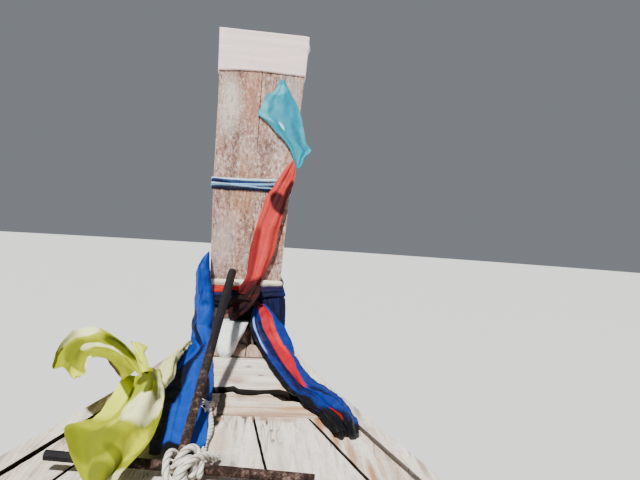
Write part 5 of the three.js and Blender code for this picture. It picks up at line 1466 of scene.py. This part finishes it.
BAND_LOOKS = {
    "cream": ((0.92, 0.86, 0.66), (0.60, 0.48, 0.30), (0.97, 0.95, 0.86), {"blots": [
        (50, 625, 120, 30, 0, (0.035, 0.003, 0.006), 1)]}),
    "scarlet": ((0.55, 0.015, 0.012), (0.10, 0.003, 0.004), (0.74, 0.05, 0.035), {"blots": [
        # Painted shade: the dark blot on the starboard part of the band's aft face.
        (50, 690, 140, 95, 0, (0.010, 0.004, 0.045), 1)]}),
    "navy": ((0.002, 0.004, 0.035), (0.001, 0.001, 0.006), (0.012, 0.04, 0.30)),
    "dark": ((0.003, 0.002, 0.006), (0.001, 0.001, 0.002), (0.015, 0.008, 0.020)),
    # knot and over: crimson laid near black as painted shade, with a few red painted highlights.
    "knot": ((0.014, 0.001, 0.002), (0.002, 0.001, 0.001), (0.24, 0.014, 0.008)),
    "over": ((0.005, 0.001, 0.001), (0.001, 0.001, 0.001), (0.06, 0.004, 0.003)),
    "tail": ((0.002, 0.004, 0.030), (0.001, 0.001, 0.004), (0.008, 0.024, 0.16)),
    "ribbon_white": ((0.55, 0.74, 0.90), (0.20, 0.38, 0.62), (0.93, 0.96, 0.98)),
    "ribbon_navy": ((0.006, 0.020, 0.09), (0.002, 0.004, 0.015), (0.10, 0.30, 0.62)),
    "ribbon_sky": ((0.20, 0.46, 0.78), (0.02, 0.06, 0.20), (0.60, 0.82, 0.95)),
    "ribbon_pale": ((0.30, 0.56, 0.84), (0.02, 0.05, 0.16), (0.80, 0.92, 0.98)),
    # ribbon_deep, the lowest strand, is near black: painted shadow under the ribbon.
    "ribbon_deep": ((0.004, 0.008, 0.03), (0.002, 0.003, 0.01), (0.02, 0.05, 0.14)),
}


def dress_cloth():
    for pieces, looks, first, common in ((CLOTH, CLOTH_LOOKS, 1.0, {}), (BANDS, BAND_LOOKS, 20.0, {"streaks": 6})):
        for i, (key, (body, shade, glow, *settings)) in enumerate(looks.items()):
            paint(pieces[key], fabric("fabric_" + key, body, shade, glow, first + i, **common, **dict(*settings)))


def dress_rope():
    s = Shader("rope_fibre")
    fibres = s.noise(s.object, 420, 4, 0.7)
    dirt = s.noise(s.object, 34, 6, 0.65)
    s.tone = dirt.ramp(0.32, (0.50, 0.42, 0.30), 0.48, (0.88, 0.86, 0.80), 0.75, (0.98, 0.98, 0.96))
    s.lay(fibres.ramp(0.33, 0.45, 0.5, 0), (0.30, 0.25, 0.18))
    # Painted shade in the grooves between the strands.
    s.lay(s.uv.parts()[0].ramp(0.35, 0, 0.95, 0.9), (0.14, 0.11, 0.07))
    material = s.finish(Roughness=0.9, Sheen_Weight=0.2, Normal=s.bump(fibres, 0.6, 0.0008))
    for item in ROPES + [LASHINGS]:
        paint(item, material)


def canvas():
    """The canopy's cloth: faded along the crown, sewn from three widths, with a pale binding along the valance."""
    s = Shader("canopy_canvas")
    x, _, z = s.object.parts()
    cloud = s.noise(s.object, 2.2, 7, 0.6)
    stain = s.noise(s.stretch((0.6, 3, 3)), 2.4, 6, 0.65)
    grime = s.noise(s.object, 17, 7, 0.7)
    s.tone = cloud.ramp(0.3, (0.012, 0.075, 0.19), 0.55, (0.025, 0.13, 0.30), 0.75, (0.08, 0.24, 0.42))
    s.lay(stain.ramp(0.50, 0, 0.72, 0.45), (0.26, 0.27, 0.25))
    s.lay(grime.ramp(0.55, 0, 0.75, 0.5), (0.06, 0.07, 0.07))
    s.lay(z.between(1.0, 1.766, 0.001) * 0.85, (0.72, 0.72, 0.68))
    aft_seam, fore_seam = (x.between(at - 0.011, at + 0.011, 0.001) for at in (-1.0, 0.3))
    seams = aft_seam.most(fore_seam)
    stitches = s.wave(55, "Y") * seams
    s.lay(seams * 0.35, (0.01, 0.05, 0.12))
    s.lay(stitches.ramp(0.8, 0, 0.95, 1) * 0.5, (0.6, 0.65, 0.7))
    return s.finish(Roughness=0.82, Sheen_Weight=0.2,
                    Normal=s.bump(weave_height(s, 0.5) + (seams * 2.0 + cloud), 0.35, 0.0012))


dress_wood()
for node, (look, *settings) in METALS.items():
    paint(node, look(*settings))
paint("anchor", iron_bars())
dress_cloth()
dress_rope()
paint(CAP, chalky_paint("cap_paint", (1.0, 0.80, 0.80), (0.80, 0.55, 0.50), 1.5, "y", 0.35))
paint(KNEE_BLOCK, chalky_paint("knee_paint", (0.90, 0.93, 0.92), (0.40, 0.40, 0.38), 4.5, "z", 0.6))
paint(CANOPY_SHEET, canvas())
make_engine_fittings()


# Floor at the waterline, with a hole in it for the hull, and soft light.
PORT_SIDE = ("strake_port_2", "strake_port_3", "strake_port_3_aft", "stem_post")
HULL_AFT, HULL_FORE = -4.79, 4.284      # ends of the hull at the water
STATIONS = 72
FLOOR_REACH = 60
SKY, SKY_STRENGTH = (0.84, 0.90, 1.0, 1), 0.24
SUN = {"energy": 7.0, "angle": math.radians(4), "color": (1.0, 0.97, 0.92)}
SUN_WAY = (0.46, -0.232, -0.87)


def hull_side(x):
    """Half breadth of the hull at the water."""
    hits = [NODES[name].ray_cast(Vector((x, 3, 0)), Vector((0, -1, 0))) for name in PORT_SIDE]
    return max([hit[1].y for hit in hits if hit[0]], default=0.0)


def waterline():
    """The hull's outline at the water, 4 mm inside the planking's face, from the stern to the bow."""
    xs = [lerp(HULL_AFT, HULL_FORE - 0.02, k / STATIONS) for k in range(STATIONS + 1)]
    return [(x, max(0.01, hull_side(x) - 0.004)) for x in xs] + [(HULL_FORE, 0.0)]


def make_floor():
    side = waterline()
    ring = side + [(x, -y) for x, y in reversed(side[:-1])]
    inner = [(x, y, 0) for x, y in ring]
    outer = [Vector((x + 0.5, y * 5, 0)).normalized() * FLOOR_REACH for x, y in ring]
    count = len(ring)
    faces = [(i, (i + 1) % count, count + (i + 1) % count, count + i) for i in range(count)]
    data = bpy.data.meshes.new("floor")
    data.from_pydata(inner + outer, [], faces)
    item = new_object("floor", data)
    item.data.materials.append(Shader("floor_plain", (0.72, 0.73, 0.74)).finish(Roughness=0.9))


def make_light():
    world = bpy.data.worlds.new("studio")
    world.use_nodes = True
    sky = world.node_tree.nodes["Background"]
    sky.inputs["Color"].default_value = SKY
    sky.inputs["Strength"].default_value = SKY_STRENGTH
    bpy.context.scene.world = world
    sun = bpy.data.lights.new("key", "SUN")
    for key, value in SUN.items():
        setattr(sun, key, value)
    new_object("key", sun).rotation_euler = Vector(SUN_WAY).to_track_quat("-Z", "Y").to_euler()


make_floor()
make_light()
